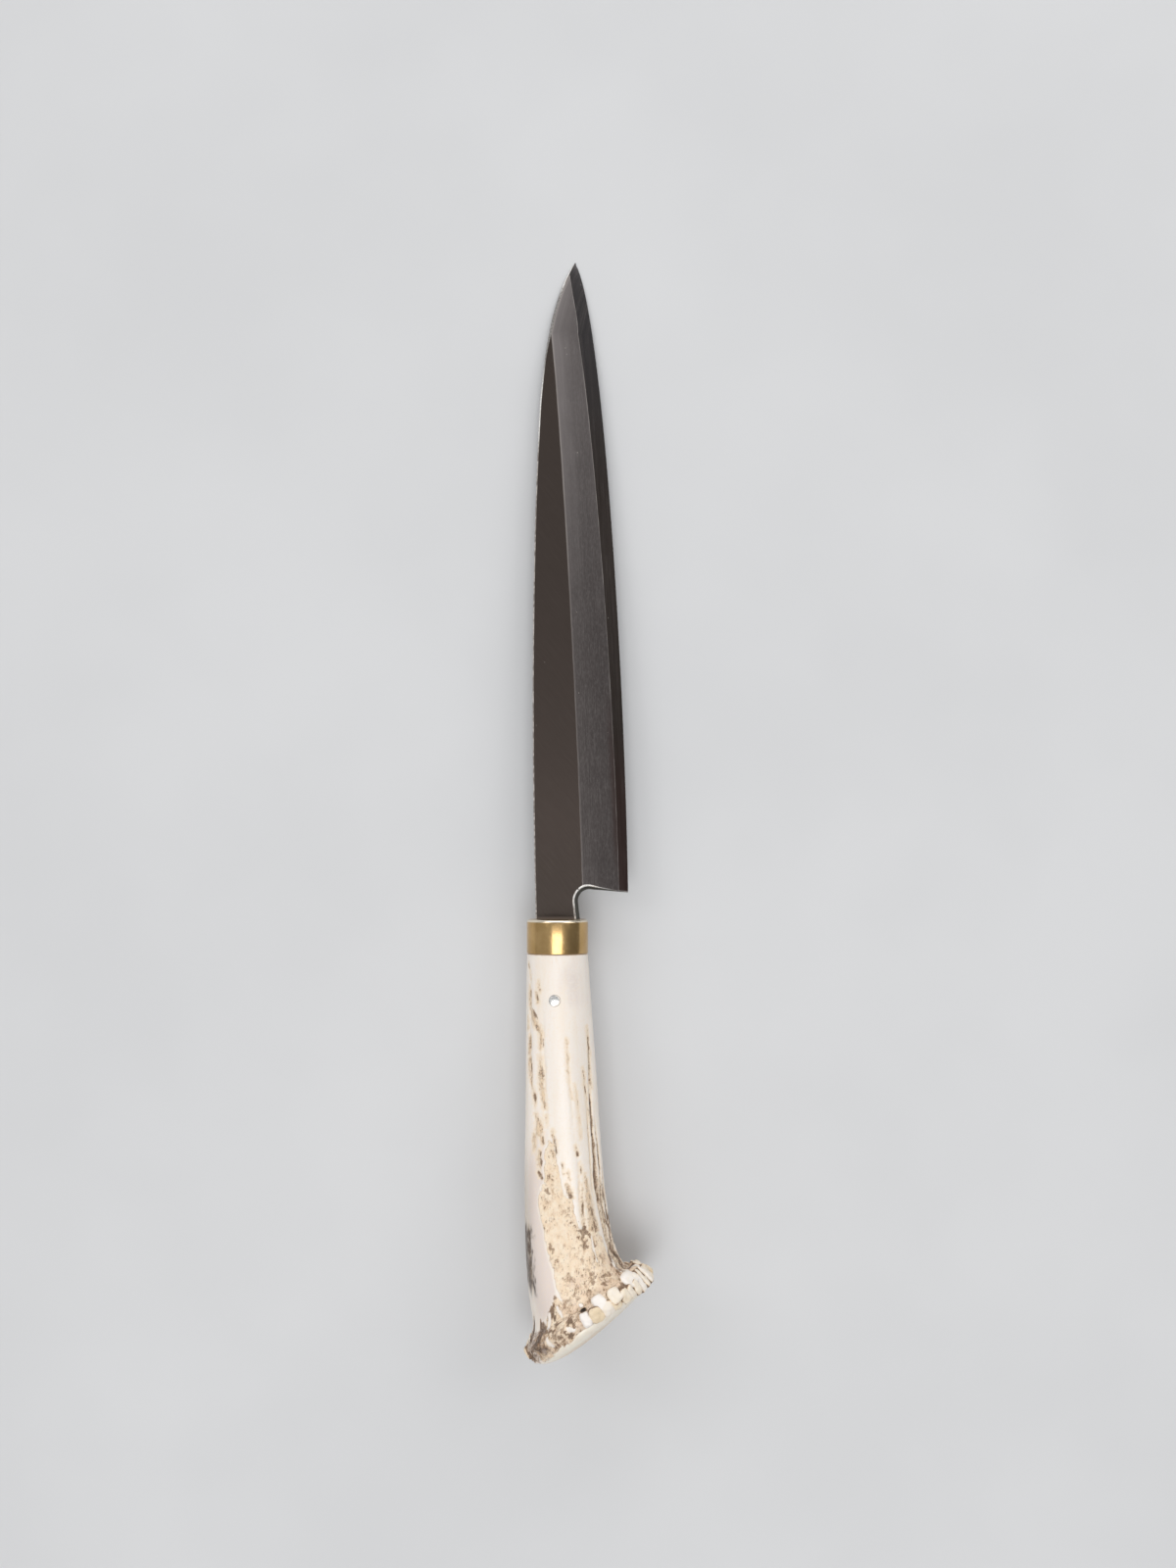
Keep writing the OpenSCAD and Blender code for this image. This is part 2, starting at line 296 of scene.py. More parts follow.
print("blade", BLADE_LEN, "mm long,", round(float(edge_x(HEEL) - spine_x(HEEL)), 1), "mm wide at the heel")

# %% Cross-sections of the blank
FACET = 0.22          # width of the ridge, which no stone leaves quite sharp
BEVEL_CROWN = 0.05    # how far the middle of the bevel stands above a straight line
BACK_CORNER = 0.08    # the spine's lower corner
EDGE_STEPS = 10


def section(y):
    """The blank's outline at one station, from the back's spine corner, over the top, to the edge."""
    left, right, ridge, top = spine_x(y), edge_x(y), ridge_x(y), top_z(y)
    half = 0.5 * FACET * ease((right - left) / 6)
    bevel_w = max(right - ridge, 0.02)
    drop = top - BACK - EDGE_T
    corner_cut = min(chamfer(y), 0.6 * (top - BACK), 0.45 * (right - left))
    skin = [[left + BACK_CORNER, BACK], [left, BACK + BACK_CORNER], [left, top - corner_cut],
            [left + corner_cut, top], [max(ridge - half, left + corner_cut + 0.005), top],
            [ridge + half, top - drop * half / bevel_w]]
    for i in range(1, EDGE_STEPS + 1):
        s = half / bevel_w + (1 - half / bevel_w) * i / EDGE_STEPS
        crown = BEVEL_CROWN * (4 * s * (1 - s)) * ease(drop / 1.5)
        skin.append([ridge + bevel_w * s, top - drop * s + crown])
    skin.append([ridge + bevel_w, BACK])
    return np.array([[x, y, z] for x, z in skin])


stations = np.concatenate([np.linspace(SHOULDER, 170, 150), np.linspace(170, 198.5, 60)[1:],
                           [199.0, 199.4, 199.7, 199.9]])
blank = loft("blank", [section(float(y)) for y in stations])
print("blank:", len(stations), "stations of", EDGE_STEPS + 7, "points")

# %% [markdown]
# Between heel and ferrule a notch leaves room for a finger. Its wall slants inwards, so that a
# narrow band of it shows from above. The cutter is a loft whose outline grows on the way up, and
# grows faster at the upper face, which breaks the rim in two narrow facets.

# %% The heel notch
CORNER_R, CORNER = 4.65, np.array([9.5, 5.4])
NOTCH_SLANT = 1.2
RIM_STEPS = [(0.0, -0.38), (0.18, -0.12), (0.88, 0.12)]     # mm outwards and above the upper face


def upper_face(point):
    """Height of the upper face over a point of the plan."""
    outline = section(float(np.clip(point[1], SHOULDER, BLADE_LEN)))[3:-1]
    return np.interp(point[0], outline[:, 0], outline[:, 2])


def notch_outline(push):
    """The notch in plan. Push, one number or one per point, moves the outline into the blade."""
    turns = [math.radians(a) for a in range(180, 79, -4)]
    out = np.array([[0, 0.6], [0, 0], [-1, 0], [-1, 0]] + [[math.cos(a), math.sin(a)] for a in turns])
    corners = [[24, HEEL - 0.1], [24, -1.5], [5.8, -1.5], [CORNER[0] - CORNER_R + 0.35, 1.9]]
    plain = np.array(corners + [CORNER + CORNER_R * way for way in out[4:]])
    return plain + out * np.reshape(push, (-1, 1))


def notch_tool():
    """The wall slants, and its upper corner is broken by two narrow facets."""
    def wall_push(z):
        return -NOTCH_SLANT * (1 - (z - BACK) / SPINE_T)
    low, high = BACK - 0.4, BACK + SPINE_T + 0.4
    face = np.array([upper_face(point) for point in notch_outline(0.0)])
    start = wall_push(face + RIM_STEPS[0][1])
    rings = [np.column_stack([notch_outline(wall_push(low)), np.full(len(face), low)])]
    for outwards, above in RIM_STEPS:
        rings.append(np.column_stack([notch_outline(start + outwards), face + above]))
    rings.append(np.column_stack([notch_outline(start + RIM_STEPS[-1][0]), np.full(len(face), high)]))
    return loft("notch_tool", rings)


notch = notch_tool()
cut_with(blank, notch)
scrap(notch)
print("notched blank:", len(blank.data.polygons), "faces")

# %% [markdown]
# The blade is a sandwich: soft iron forge-welded over a thin plate of hard steel, which alone forms
# the edge. Both pieces come from the same blank. One Boolean keeps what lies above the weld, the
# other what lies below, so they meet face to face. The hollow is a dish cut out of the steel.

# %% Hard steel and its hollow
HOLLOW_DEPTH, HOLLOW_RIM = 0.3, 2.4


def weld_tool():
    low, high = BACK - 1, BACK + STEEL_T
    plan = [[-12, HEEL + 2.6], [23, HEEL - 0.3], [23, BLADE_LEN + 1], [-12, BLADE_LEN + 1]]
    return loft("weld_tool", [np.array([[*p, z] for p in plan]) for z in (low, high)])


def hollow_tool():
    """A dish as wide at each station as the flat rim leaves it."""
    first, last, rows, columns = 14.0, BLADE_LEN - 10, 60, 24
    ys = np.linspace(first, last, rows)
    left, right = spine_x(ys) + HOLLOW_RIM, edge_x(ys) - HOLLOW_RIM
    width = np.maximum(right - left, 0.1)
    ends = np.sqrt(1 - np.linspace(-1, 1, rows) ** 8)
    widest = edge_x(first) - spine_x(first)
    rings = []
    for y, a, b, w, e in zip(ys, left, right, width, ends):
        s = np.linspace(-1, 1, columns)
        depth = HOLLOW_DEPTH * (w / widest) ** 2 * e * (1 - s ** 2) - 0.002
        bowl = np.column_stack([(a + b) / 2 + s * w / 2, np.full(columns, y), BACK + depth])
        base = [[b, y, BACK - 1], [a, y, BACK - 1]]
        rings.append(np.concatenate([bowl, base]))
    return loft("hollow_tool", rings)


weld, hollow = weld_tool(), hollow_tool()
steel = copy_of(blank, "hard_steel_layer")
cut_with(steel, weld, "INTERSECT")
cut_with(steel, hollow)
cut_with(blank, weld)
scrap(weld, hollow)
print("steel:", len(steel.data.polygons), "faces; iron:", len(blank.data.polygons), "faces")

# %% [markdown]
# The iron runs on as a hidden tang through the ferrule and deep into the handle. It is drawn as a
# tapered bar, and a Boolean joins it to the neck and drills it for the pin.

# %% The tang
TANG_X, TANG_LEN, TANG_W, TANG_END_W, TANG_T = -0.1, 95.0, 10.8, 5.0, 3.0
NECK_GAP = 0.06       # mm between the neck and the ferrule
PIN_D, PIN_AT, PIN_SIDES = 3.2, (-0.6, -23.3), 64


def bar_ring(y, width, thickness):
    """The tang's cross-section at one station."""
    x, z = width / 2, thickness / 2
    return np.array([[TANG_X - x, y, -z], [TANG_X + x, y, -z], [TANG_X + x, y, z], [TANG_X - x, y, z]])


def pin_ring(radius, z):
    """A circle of points round the pin's axis."""
    angles = np.linspace(0, 2 * np.pi, PIN_SIDES, endpoint=False)
    x, y = PIN_AT[0] + radius * np.cos(angles), PIN_AT[1] + radius * np.sin(angles)
    return np.column_stack([x, y, np.full(PIN_SIDES, z)])


tang = loft("tang", [bar_ring(SHOULDER + 1, TANG_W, TANG_T), bar_ring(-TANG_LEN, TANG_END_W, TANG_T)])
drill = loft("drill", [pin_ring(PIN_D / 2, z) for z in (-5, 5)])
cut_with(tang, drill)
iron = cut_with(blank, tang, "UNION")
iron.name = "iron_body"
drawn = points_of(iron.data)
drawn[np.abs(drawn[:, 1] - SHOULDER) < 0.01, 1] = NECK_GAP
iron.data.vertices.foreach_set("co", drawn.ravel())
scrap(tang, drill)
print("iron with its tang:", len(iron.data.polygons), "faces")

# %% [markdown]
# A material can't know where the ridge is, so each blade mesh carries notes, one number per point
# each: how far across the bevel it lies (0 at the ridge, 1 at the edge, below 0 on the flat), how
# many mm that is from the ridge, how far along the blade, and how high over the weld and over the
# back. They are worked out from the same lines that made the shape.

# %% Notes for the blade's finishes
def note_blade(obj):
    p = points_of(obj.data)
    y = np.clip(p[:, 1], SHOULDER, BLADE_LEN - 0.1)
    ridge, left, right = ridge_x(y), spine_x(y), edge_x(y)
    on_bevel = (p[:, 0] - ridge) / np.maximum(right - ridge, 0.05)
    on_flat = (p[:, 0] - ridge) / np.maximum(ridge - left, 0.05)
    note(obj.data, "across", np.where(p[:, 0] > ridge, on_bevel, on_flat))
    note(obj.data, "bevel_mm", p[:, 0] - ridge)
    note(obj.data, "along", p[:, 1])
    note(obj.data, "over_weld", p[:, 2] - (BACK + STEEL_T))
    note(obj.data, "over_back", p[:, 2] - BACK)


note_blade(iron)
note_blade(steel)

# %% [markdown]
# ## The ferrule
# A brass cap turned on a lathe, with a slot filed for the tang. A lathe turns one profile round an
# axis, so the piece is a loft of circles along that profile. It starts beside the axis and not on
# it, because the slot takes the middle away.

# %% Turned and slotted ferrule
FERRULE_R, FERRULE_LEN, WALL, PLATE, ROUND = 9.1, 10.0, 1.2, 1.5, 1.0
SLOT_W, SLOT_T, LEAD_IN = 11.3, 3.5, 1.15
LATHE_STEPS = 192


def turned(name, profile):
    """A closed ring of the profile's (radius, y) points turned round the knife's axis."""
    around = np.linspace(0, 2 * np.pi, LATHE_STEPS, endpoint=False)
    rings = np.array([[[r * math.cos(a), y, r * math.sin(a)] for r, y in profile] for a in around])
    n = len(profile)
    starts = [(i * n, (i + 1) % LATHE_STEPS * n) for i in range(LATHE_STEPS)]
    faces = [(here + k, here + (k + 1) % n, there + (k + 1) % n, there + k)
             for here, there in starts for k in range(n)]
    return new_mesh(name, rings.reshape(-1, 3), faces)


shoulder = [[FERRULE_R - ROUND + ROUND * math.sin(a), -ROUND + ROUND * math.cos(a)]
            for a in np.linspace(0, np.pi / 2, 14)]
profile = ([[0.6, 0.0]] + shoulder
           + [[FERRULE_R, -FERRULE_LEN + 0.2], [FERRULE_R - 0.06, -FERRULE_LEN + 0.06],
              [FERRULE_R - 0.2, -FERRULE_LEN], [FERRULE_R - WALL, -FERRULE_LEN],
              [FERRULE_R - WALL, -PLATE], [0.6, -PLATE]])
cap = turned("brass_ferrule", profile)

slot_tool = loft("slot_tool", [bar_ring(1.0, SLOT_W + 2 * LEAD_IN, SLOT_T + 2 * LEAD_IN),
                               bar_ring(-0.15, SLOT_W, SLOT_T), bar_ring(-PLATE - 1, SLOT_W, SLOT_T)])
cut_with(cap, slot_tool)
scrap(slot_tool)
print("ferrule:", len(cap.data.polygons), "faces")

# %% [markdown]
# ## The antler
# The handle is the crown end of a shed antler: a beam worn smooth by polishing, with bark left in
# its gutters, that flares into a burr set with pearls. It is a loft of oval rings again. Ten rings
# carry the form, and a spline through them gives all rings in between. Where a point
# lies is told by its row (0 at the ferrule, 9 at the rim of the burr) and by its angle on the ring
# (0 to the edge's side, 90 upwards), so the gutters, the bark and the pearls can share one map.

# %% Rings of the antler
RINGS = np.array([   # left x, y and right x, y of each ring, half its depth, lean of its top
    [-9.0, -10, 9.0, -10, 9.0, 0],
    [-9.3, -32, 10.5, -32, 9.3, 0],
    [-9.6, -58, 12.0, -56, 9.8, 0],
    [-9.8, -79, 13.6, -76, 10.6, 1],
    [-9.4, -95, 15.6, -90, 12.0, 2],
    [-8.4, -108, 18.0, -98, 13.8, 3],
    [-7.0, -117.6, 20.9, -101.3, 15.6, 4],
    [-8.2, -121.6, 23.5, -100.0, 18.0, 6],
    [-8.8, -125.2, 27.0, -102.0, 19.6, 8],
    [-7.1, -127.9, 28.4, -104.4, 19.2, 10]])
VALLEY, LIP, RIM_ROW = 6, 8, 9     # rows: behind the burr, along its swellings, and where the butt begins
BUTT_DOME = 3.9


def through(rows, u):
    """The rings' numbers at any row u, on a smooth curve through all of them."""
    i = np.minimum(np.floor(u).astype(int), len(rows) - 2)
    f = (u - i)[:, None]
    a, b = rows[np.maximum(i - 1, 0)], rows[i]
    c, d = rows[i + 1], rows[np.minimum(i + 2, len(rows) - 1)]
    return (2 * b + (c - a) * f + (2 * a - 5 * b + 4 * c - d) * f ** 2
            + (3 * b - a - 3 * c + d) * f ** 3) / 2


def antler_points(u, angle, relief):
    """Points at row u and angle in degrees, relief mm above the plain form. Rows past 9 go over
    the domed butt, and reach its middle at 10."""
    row = through(RINGS, np.minimum(u, RIM_ROW))
    rise = np.radians(90 * np.clip(u - RIM_ROW, 0, 1))
    span = row[:, 2:4] - row[:, 0:2]
    half = np.linalg.norm(span, axis=1) / 2
    right = np.column_stack([span / (2 * half)[:, None], np.zeros(len(u))])
    back = np.column_stack([right[:, 1], -right[:, 0], np.zeros(len(u))])
    lean = np.radians(row[:, 5])[:, None]
    z_axis = np.array([0, 0, 1.0])
    up = z_axis * np.cos(lean) - back * np.sin(lean)
    out = back * np.cos(lean) + z_axis * np.sin(lean)
    middle = np.column_stack([(row[:, 0] + row[:, 2]) / 2, (row[:, 1] + row[:, 3]) / 2, np.zeros(len(u))])
    a = np.radians(angle)
    lift = relief * np.cos(rise)
    dome = BUTT_DOME * np.sin(rise) * (1 - 0.55 * np.cos(rise) * np.cos(a))
    return (middle + right * (np.cos(a) * (half * np.cos(rise) + lift))[:, None]
            + up * (np.sin(a) * (row[:, 4] * np.cos(rise) + lift))[:, None] + out * dome[:, None])


def antler_map(around, step):
    """Rows about step mm apart, closer at both ends; returns the row and angle of every point."""
    fine = np.linspace(0, RIM_ROW, 1801)
    lengths = 0
    for side in (0, 90, 180, 270):
        p = antler_points(fine, np.full(len(fine), float(side)), np.zeros(len(fine)))
        lengths = lengths + np.linalg.norm(np.diff(p, axis=0), axis=1) / 4
    travelled = np.concatenate([[0], np.cumsum(lengths)])
    beam = np.interp(np.arange(0.6, travelled[-1], step), travelled, fine)
    front = np.interp([0, 0.08, 0.2, 0.36], travelled, fine)
    butt = RIM_ROW + np.concatenate([[0, 0.02, 0.045, 0.075], np.linspace(0.11, 0.985, 24)])
    rows = np.concatenate([front, beam, butt])
    angles = np.arange(around) * 360 / around
    return np.repeat(rows, around), np.tile(angles, len(rows)), len(rows)


AROUND = 256
U, ANGLE, ROW_COUNT = antler_map(AROUND, 0.35)
PLAIN = antler_points(U, ANGLE, np.zeros(len(U)))
print("antler map:", ROW_COUNT, "rows of", AROUND)

# %% [markdown]
# Gutters are where the blood vessels of the growing antler lay. Each one is a line of the map: it
# has an angle, a width, a depth, a first and a last row, and a drift. Noise bends them, since
# nothing that grew is straight, but only a little on the upper side next to the spine, where each
# has its known place. A `trail` is a free line through listed points of the map, for what
# follows no gutter, and tells how far inside it each point lies.

# %% Gutters and trails
GUTTERS = [          # angle, half-width in degrees, depth, first row, last row, drift
    [33, 3.5, 0.9, 1.1, 6.2, -30], [44, 3, 0.45, 1.4, 3.6, -6], [22, 3.5, 0.7, 1.8, 6.3, -20],
    [10, 4, 0.6, 2.4, 6.4, -14], [66, 3, 0.35, 2.2, 4.4, 0], [74, 3, 0.2, 0.9, 2.8, -10],
    [97, 20, 0.4, 2.3, 7.8, 0], [118, 3, 0.25, 0.4, 2.4, -6], [134, 3, 0.3, 1.6, 2.9, -6],
    [149, 4, 0.5, 0.1, 1.9, -10], [152, 6, 0.4, 3.0, 5.4, 2], [170, 4, 0.5, 0.4, 4.2, -6],
    [-6, 5, 0.7, 0.8, 6.6, 0], [-24, 5, 0.7, 0.4, 6.6, 0], [-44, 5, 0.5, 1.0, 6.5, -6],
    [-62, 6, 0.7, 0.6, 6.8, -4], [-84, 5, 0.6, 1.4, 6.6, 0], [-104, 6, 0.6, 0.5, 6.7, 4],
    [-126, 5, 0.5, 1.2, 6.4, 8], [-146, 6, 0.6, 0.7, 6.8, 8], [-166, 4, 0.4, 0.5, 6.2, 4]]


def angle_gap(a, b):
    """Degrees between two angles, the short way round."""
    d = np.abs(a - b) % 360
    return np.minimum(d, 360 - d)


CALM_BEND, WILD_BEND = 1.3, 4.0     # degrees by which noise bends a gutter


def gutters(u, angle, wander):
    """Depth in mm of the gutters, without the broad bed of bark, and of that bed."""
    narrow, broad = 0, 0
    for line, width, depth, first, last, drift in GUTTERS:
        way = np.clip((u - first) / (last - first), 0, 1)
        bend = CALM_BEND if 60 < line < 180 else WILD_BEND
        at = line + drift * way ** 3 + bend * wander
        dug = depth * between(u, first, last, 0.8) * np.exp(-(angle_gap(angle, at) / width) ** 2)
        if width > 10:
            broad = broad + dug
        else:
            narrow = narrow + dug
    return narrow, broad


def on_antler(rows):
    """Points of the plain form at listed (row, angle, ...) rows."""
    rows = np.array(rows, float)
    return antler_points(rows[:, 0], rows[:, 1], np.zeros(len(rows)))


FAR_OUTSIDE, NEAR = -9.0, 3.0     # mm: what far points get, and how near a trail the sums are done


def trail(path):
    """Distance in mm inside a line of (row, angle, half-width in mm) points, below 0 outside it."""
    knots, widths = on_antler(path), [row[2] for row in path]
    best = np.full(len(PLAIN), FAR_OUTSIDE)
    reach = np.max(widths) + NEAR
    box = (PLAIN > knots.min(0) - reach).all(1) & (PLAIN < knots.max(0) + reach).all(1)
    for a, b, wa, wb in zip(knots, knots[1:], widths, widths[1:]):
        way = np.clip((PLAIN[box] - a) @ (b - a) / np.dot(b - a, b - a), 0, 1)[:, None]
        gap = np.linalg.norm(PLAIN[box] - a - way * (b - a), axis=1)
        best[box] = np.maximum(best[box], wa + (wb - wa) * way[:, 0] - gap)
    return best


wander = blobs(PLAIN, (4, 14, 4), 3, 2)
narrow, broad = gutters(U, ANGLE, wander)
print("deepest gutter:", round(float(narrow.max()), 2), "mm")

# %% [markdown]
# The bark decides both colour and height: polished ivory stands proud, while sandy, porous bark is
# left in a long bed that widens to the burr, in islands and in thin streaks. The bed has two drawn
# borders, and streaks and tongues are trails, placed one by one. Each is painted as a number per
# point. A border is a signed distance in mm plus noise, cut by a soft step, which gives the ragged
# edges of real bark. RADIUS is the handle's half-width at each point, and turns degrees into
# millimetres.

# %% Borders, streaks and tongues
BED_LEFT = [         # row and angle of the bed's border on the spine's side
    (2.3, 109), (2.37, 116), (2.61, 118), (2.85, 118), (2.91, 123), (3.06, 126), (3.24, 127), (3.48, 123),
    (3.63, 120), (3.99, 118), (4.5, 112), (5.07, 110), (5.25, 113), (5.5, 121), (5.72, 125), (5.8, 133),
    (6.9, 133), (7.4, 142), (10, 150)]
BED_RIGHT = [        # and of its border on the edge's side
    (2.3, 105), (2.4, 99), (2.64, 95), (2.97, 92), (3.12, 87), (3.16, 79), (3.3, 77), (3.48, 74),
    (3.69, 71), (3.81, 66), (3.9, 46), (4.08, 38), (4.6, 33), (5.0, 31), (5.5, 27), (6, 21), (6.6, 12),
    (10, 8)]
STREAKS = [          # (row, angle, half-width in mm) points of each streak of bark
    [(0.2, 158, 0.1), (0.33, 151, 0.25), (0.44, 148, 0.2)],
    [(0.5, 152, 0.3), (0.6, 151, 0.55), (0.72, 151, 0.4)],
    [(0.74, 150, 0.4), (0.84, 142, 0.8), (0.94, 132, 1.0), (1.03, 122, 0.7), (1.2, 123, 0.45)],
    [(0.45, 128, 0.3), (0.54, 124, 0.4)], [(0.57, 132, 0.3), (0.68, 129, 0.3)],
    [(0.86, 157, 0.15), (1.0, 156, 0.2)], [(1.08, 149, 0.5), (1.17, 148, 0.65), (1.27, 150, 0.3)],
    [(1.32, 148, 0.5), (1.47, 147, 0.7), (1.57, 144, 0.4), (1.66, 138, 0.3), (1.75, 134, 0.35),
     (1.84, 134, 0.2)],
    [(1.3, 125, 0.5), (1.47, 122, 0.85), (1.62, 121, 0.75), (1.75, 118, 0.65), (1.87, 116, 0.4)],
    [(1.94, 114, 0.2), (2.07, 114, 0.3)],
    [(1.93, 132, 0.35), (2.01, 128, 0.8), (2.1, 126, 1.25), (2.17, 125, 1.0)],
    [(2.2, 134, 0.6), (2.31, 134, 0.45), (2.43, 137, 0.15)], [(2.2, 122, 0.5), (2.31, 120, 0.4)],
    [(2.4, 125, 0.5), (2.52, 126, 0.65), (2.62, 124, 0.65)], [(2.7, 126, 0.55), (2.77, 122, 0.6)],
    [(2.14, 104, 0.2), (2.25, 102, 0.45), (2.34, 100, 0.65), (2.46, 99, 0.7)],
    [(2.6, 90, 0.3), (2.66, 89, 0.35)], [(2.7, 90, 0.2), (2.75, 89, 0.3)],
    [(2.72, 82, 0.3), (2.85, 80, 0.4)], [(2.91, 84, 0.6), (3.0, 81, 1.0), (3.13, 79, 0.6)],
    [(2.37, 69, 0.12), (2.49, 67, 0.3)], [(2.62, 63.5, 0.15), (2.76, 62, 0.2)],
    [(2.94, 62, 0.1), (3.12, 63, 0.25), (3.5, 64, 0.35), (3.84, 64, 0.9)],
    [(2.8, 56, 0.3), (3.0, 54, 0.7), (3.21, 52, 1.0), (3.5, 52, 1.4), (3.78, 51, 2.0), (4.1, 52, 2.6)],
    [(1.1, 77, 0.02), (1.38, 77, 0.1), (1.62, 75, 0.15), (1.77, 72, 0.05)],
    [(1.62, 66, 0.1), (1.72, 63.5, 0.2), (1.89, 62, 0.2), (2.07, 60, 0.1), (2.28, 59, 0.05)],
    [(1.45, 49, 0.1), (1.53, 47, 0.3), (1.74, 44, 0.3), (1.98, 40, 0.25), (2.1, 39, 0.1)],
    [(0.96, 35, 0.1), (1.14, 33, 0.3), (1.35, 31.5, 0.35), (1.56, 30, 0.35), (1.72, 29, 0.15)]]
TONGUES = [          # polished tongues that lie in the bark
    [(2.83, 126, 0.5), (2.85, 121, 0.35), (2.86, 118, 0.1)],
    [(4.9, 114, 0.4), (5.2, 110, 0.5), (5.42, 107, 0.3)],
    [(5.72, 126, 0.6), (6.1, 128, 0.7), (6.6, 128, 0.5), (7.0, 127, 0.2)],
    [(3.6, 26, 0.5), (4.4, 22.5, 0.6), (5.2, 17, 0.6), (5.9, 13, 0.8)],
    [(3.95, 56, 0.1), (4.3, 56, 0.3), (4.7, 54, 0.1)],
    [(5.55, 114, 0.35), (5.8, 112, 0.55), (6.1, 110, 0.2)],
    [(7.75, 104, 0.4), (8.0, 102, 0.75), (8.3, 99, 0.4)],
    [(7.6, 127, 0.5), (8.2, 124.5, 0.8), (8.6, 123, 0.5)]]
print("streaks of bark:", len(STREAKS), "polished tongues:", len(TONGUES))

# %% Where the bark is left
RAGGED = 0.4 * blobs(PLAIN, (0.9, 2.0, 0.9), 11, 3)
RADIUS = np.interp(U, range(10), (through(RINGS, np.arange(10.0))[:, 4] + 9) / 2)


def painted(paths, soft, grow=0.0, ragged=1.0):
    """1 along each line, falling to 0 over `soft` mm around its ragged border."""
    total = np.zeros(len(PLAIN))
    for path in paths:
        total = np.maximum(total, ease((trail(path) + grow + ragged * RAGGED) / soft + 0.5))
    return total


def border(table, at):
    """The second number of a table of pairs, read between its rows."""
    return np.interp(at, *np.array(table).T)


def without_jump(angle):
    """Angles from -90 to 270, so that the upper side has no jump."""
    return (angle + 90) % 360 - 90


seen_angle = without_jump(ANGLE)
mm_per_degree = np.radians(1) * RADIUS
bed = np.minimum(border(BED_LEFT, U) - seen_angle, seen_angle - border(BED_RIGHT, U)) * mm_per_degree
bed = np.minimum(bed, (U - 2.28) * 18) + RAGGED
bark = np.maximum(ease(bed / 0.7 + 0.5), 0.72 * painted(STREAKS, 2.2, grow=0.2))
in_bed = ease((bed + 1.3) / 1.0)
polished = painted(TONGUES, 0.45, ragged=0.5)
bark = bark * (1 - polished)
halo = ease((narrow - 0.04 + 0.08 * wander) / 0.45) * ease((U - 1.2) / 0.8)
bark = np.maximum(bark, 0.55 * halo)

underneath = ease((np.abs(without_jump(seen_angle - 90)) - 96) / 14)
islands = blobs(PLAIN, (2.6, 15, 2.6), 21, 3) + 0.25 * blobs(PLAIN, 1.2, 23, 2) + 0.12 * (U - 3)
bark = np.maximum(bark, underneath * ease((islands - 0.12) / 0.16) * ease((U - 0.5) / 0.4))
bark = np.maximum(bark, underneath * ease((U - 5.6 + RAGGED) / 0.5))
print("bark covers", round(float(bark.mean() * 100)), "% of the map")

# %% [markdown]
# Dark stain sits where polishing never reached. On the beam that is in the bottoms of the gutters
# and in flecks along the streaks. Over the flank on the edge's side a lengthwise darkening is partly dirt
# and partly painted shade.

# %% Stain and painted shade on the beam
FLECKS = [           # (row, angle, half-width in mm) points of each fleck
    [(0.22, 157, 0.1), (0.42, 148, 0.12)], [(0.52, 151, 0.15), (0.62, 149, 0.25), (0.74, 146, 0.15)],
    [(0.75, 144, 0.2), (0.84, 133, 0.4), (0.87, 130, 0.2)], [(0.47, 126, 0.1), (0.53, 124, 0.25)],
    [(0.58, 131, 0.1), (0.64, 129, 0.2)], [(1.1, 145, 0.15), (1.2, 146, 0.3)],
    [(1.05, 117, 0.1), (1.2, 119, 0.15)], [(1.34, 146, 0.3), (1.47, 144, 0.4), (1.58, 142, 0.3)],
    [(1.68, 137, 0.2), (1.73, 134, 0.4), (1.78, 133, 0.2)], [(1.58, 120, 0.1), (1.66, 119, 0.2)],
    [(1.96, 129, 0.3), (2.01, 127, 0.35)], [(2.21, 120, 0.1), (2.3, 119, 0.2)],
    [(2.41, 123, 0.3), (2.5, 124, 0.15), (2.6, 122, 0.3)],
    [(2.69, 127, 0.35), (2.73, 124, 0.5), (2.78, 121, 0.4)],
    [(2.36, 99, 0.4), (2.42, 98, 0.6), (2.48, 98, 0.25)], [(2.62, 89, 0.2), (2.66, 89, 0.25)],
    [(2.95, 84, 0.2), (3.03, 82, 0.35), (3.12, 80, 0.5)], [(3.0, 79, 0.1), (3.1, 78.5, 0.3)],
    [(2.45, 67.5, 0.15), (2.5, 66.7, 0.35)], [(2.65, 63, 0.15), (2.73, 62, 0.2)],
    [(3.15, 63, 0.1), (3.4, 64, 0.2), (3.6, 64, 0.15), (3.8, 64, 0.5)],
    [(3.1, 51, 0.1), (3.5, 49, 0.3), (3.9, 47, 0.4)], [(1.7, 63.5, 0.02), (1.95, 61.5, 0.12)],
    [(1.52, 47, 0.12), (1.72, 44, 0.15), (1.95, 40.5, 0.15)],
    [(1.1, 33, 0.15), (1.38, 31.5, 0.25), (1.6, 30, 0.2)],
    [(2.0, 31, 0.1), (2.4, 31, 0.3), (3.0, 30, 0.35)],
    [(5.45, 117, 0.3), (5.6, 121, 0.8), (5.75, 126, 0.9), (5.9, 130, 0.5)],
    [(5.95, 139, 0.7), (6.35, 137, 1.3), (6.7, 131, 1.2), (7.0, 127, 0.8), (7.4, 126, 0.4)],
    [(7.1, 87, 0.35), (7.2, 86, 0.75), (7.28, 84, 0.4)], [(6.9, 92, 0.4), (7.05, 89, 0.5)],
    [(7.3, 46, 0.3), (7.45, 44.5, 0.55), (7.9, 45.5, 0.5)]]

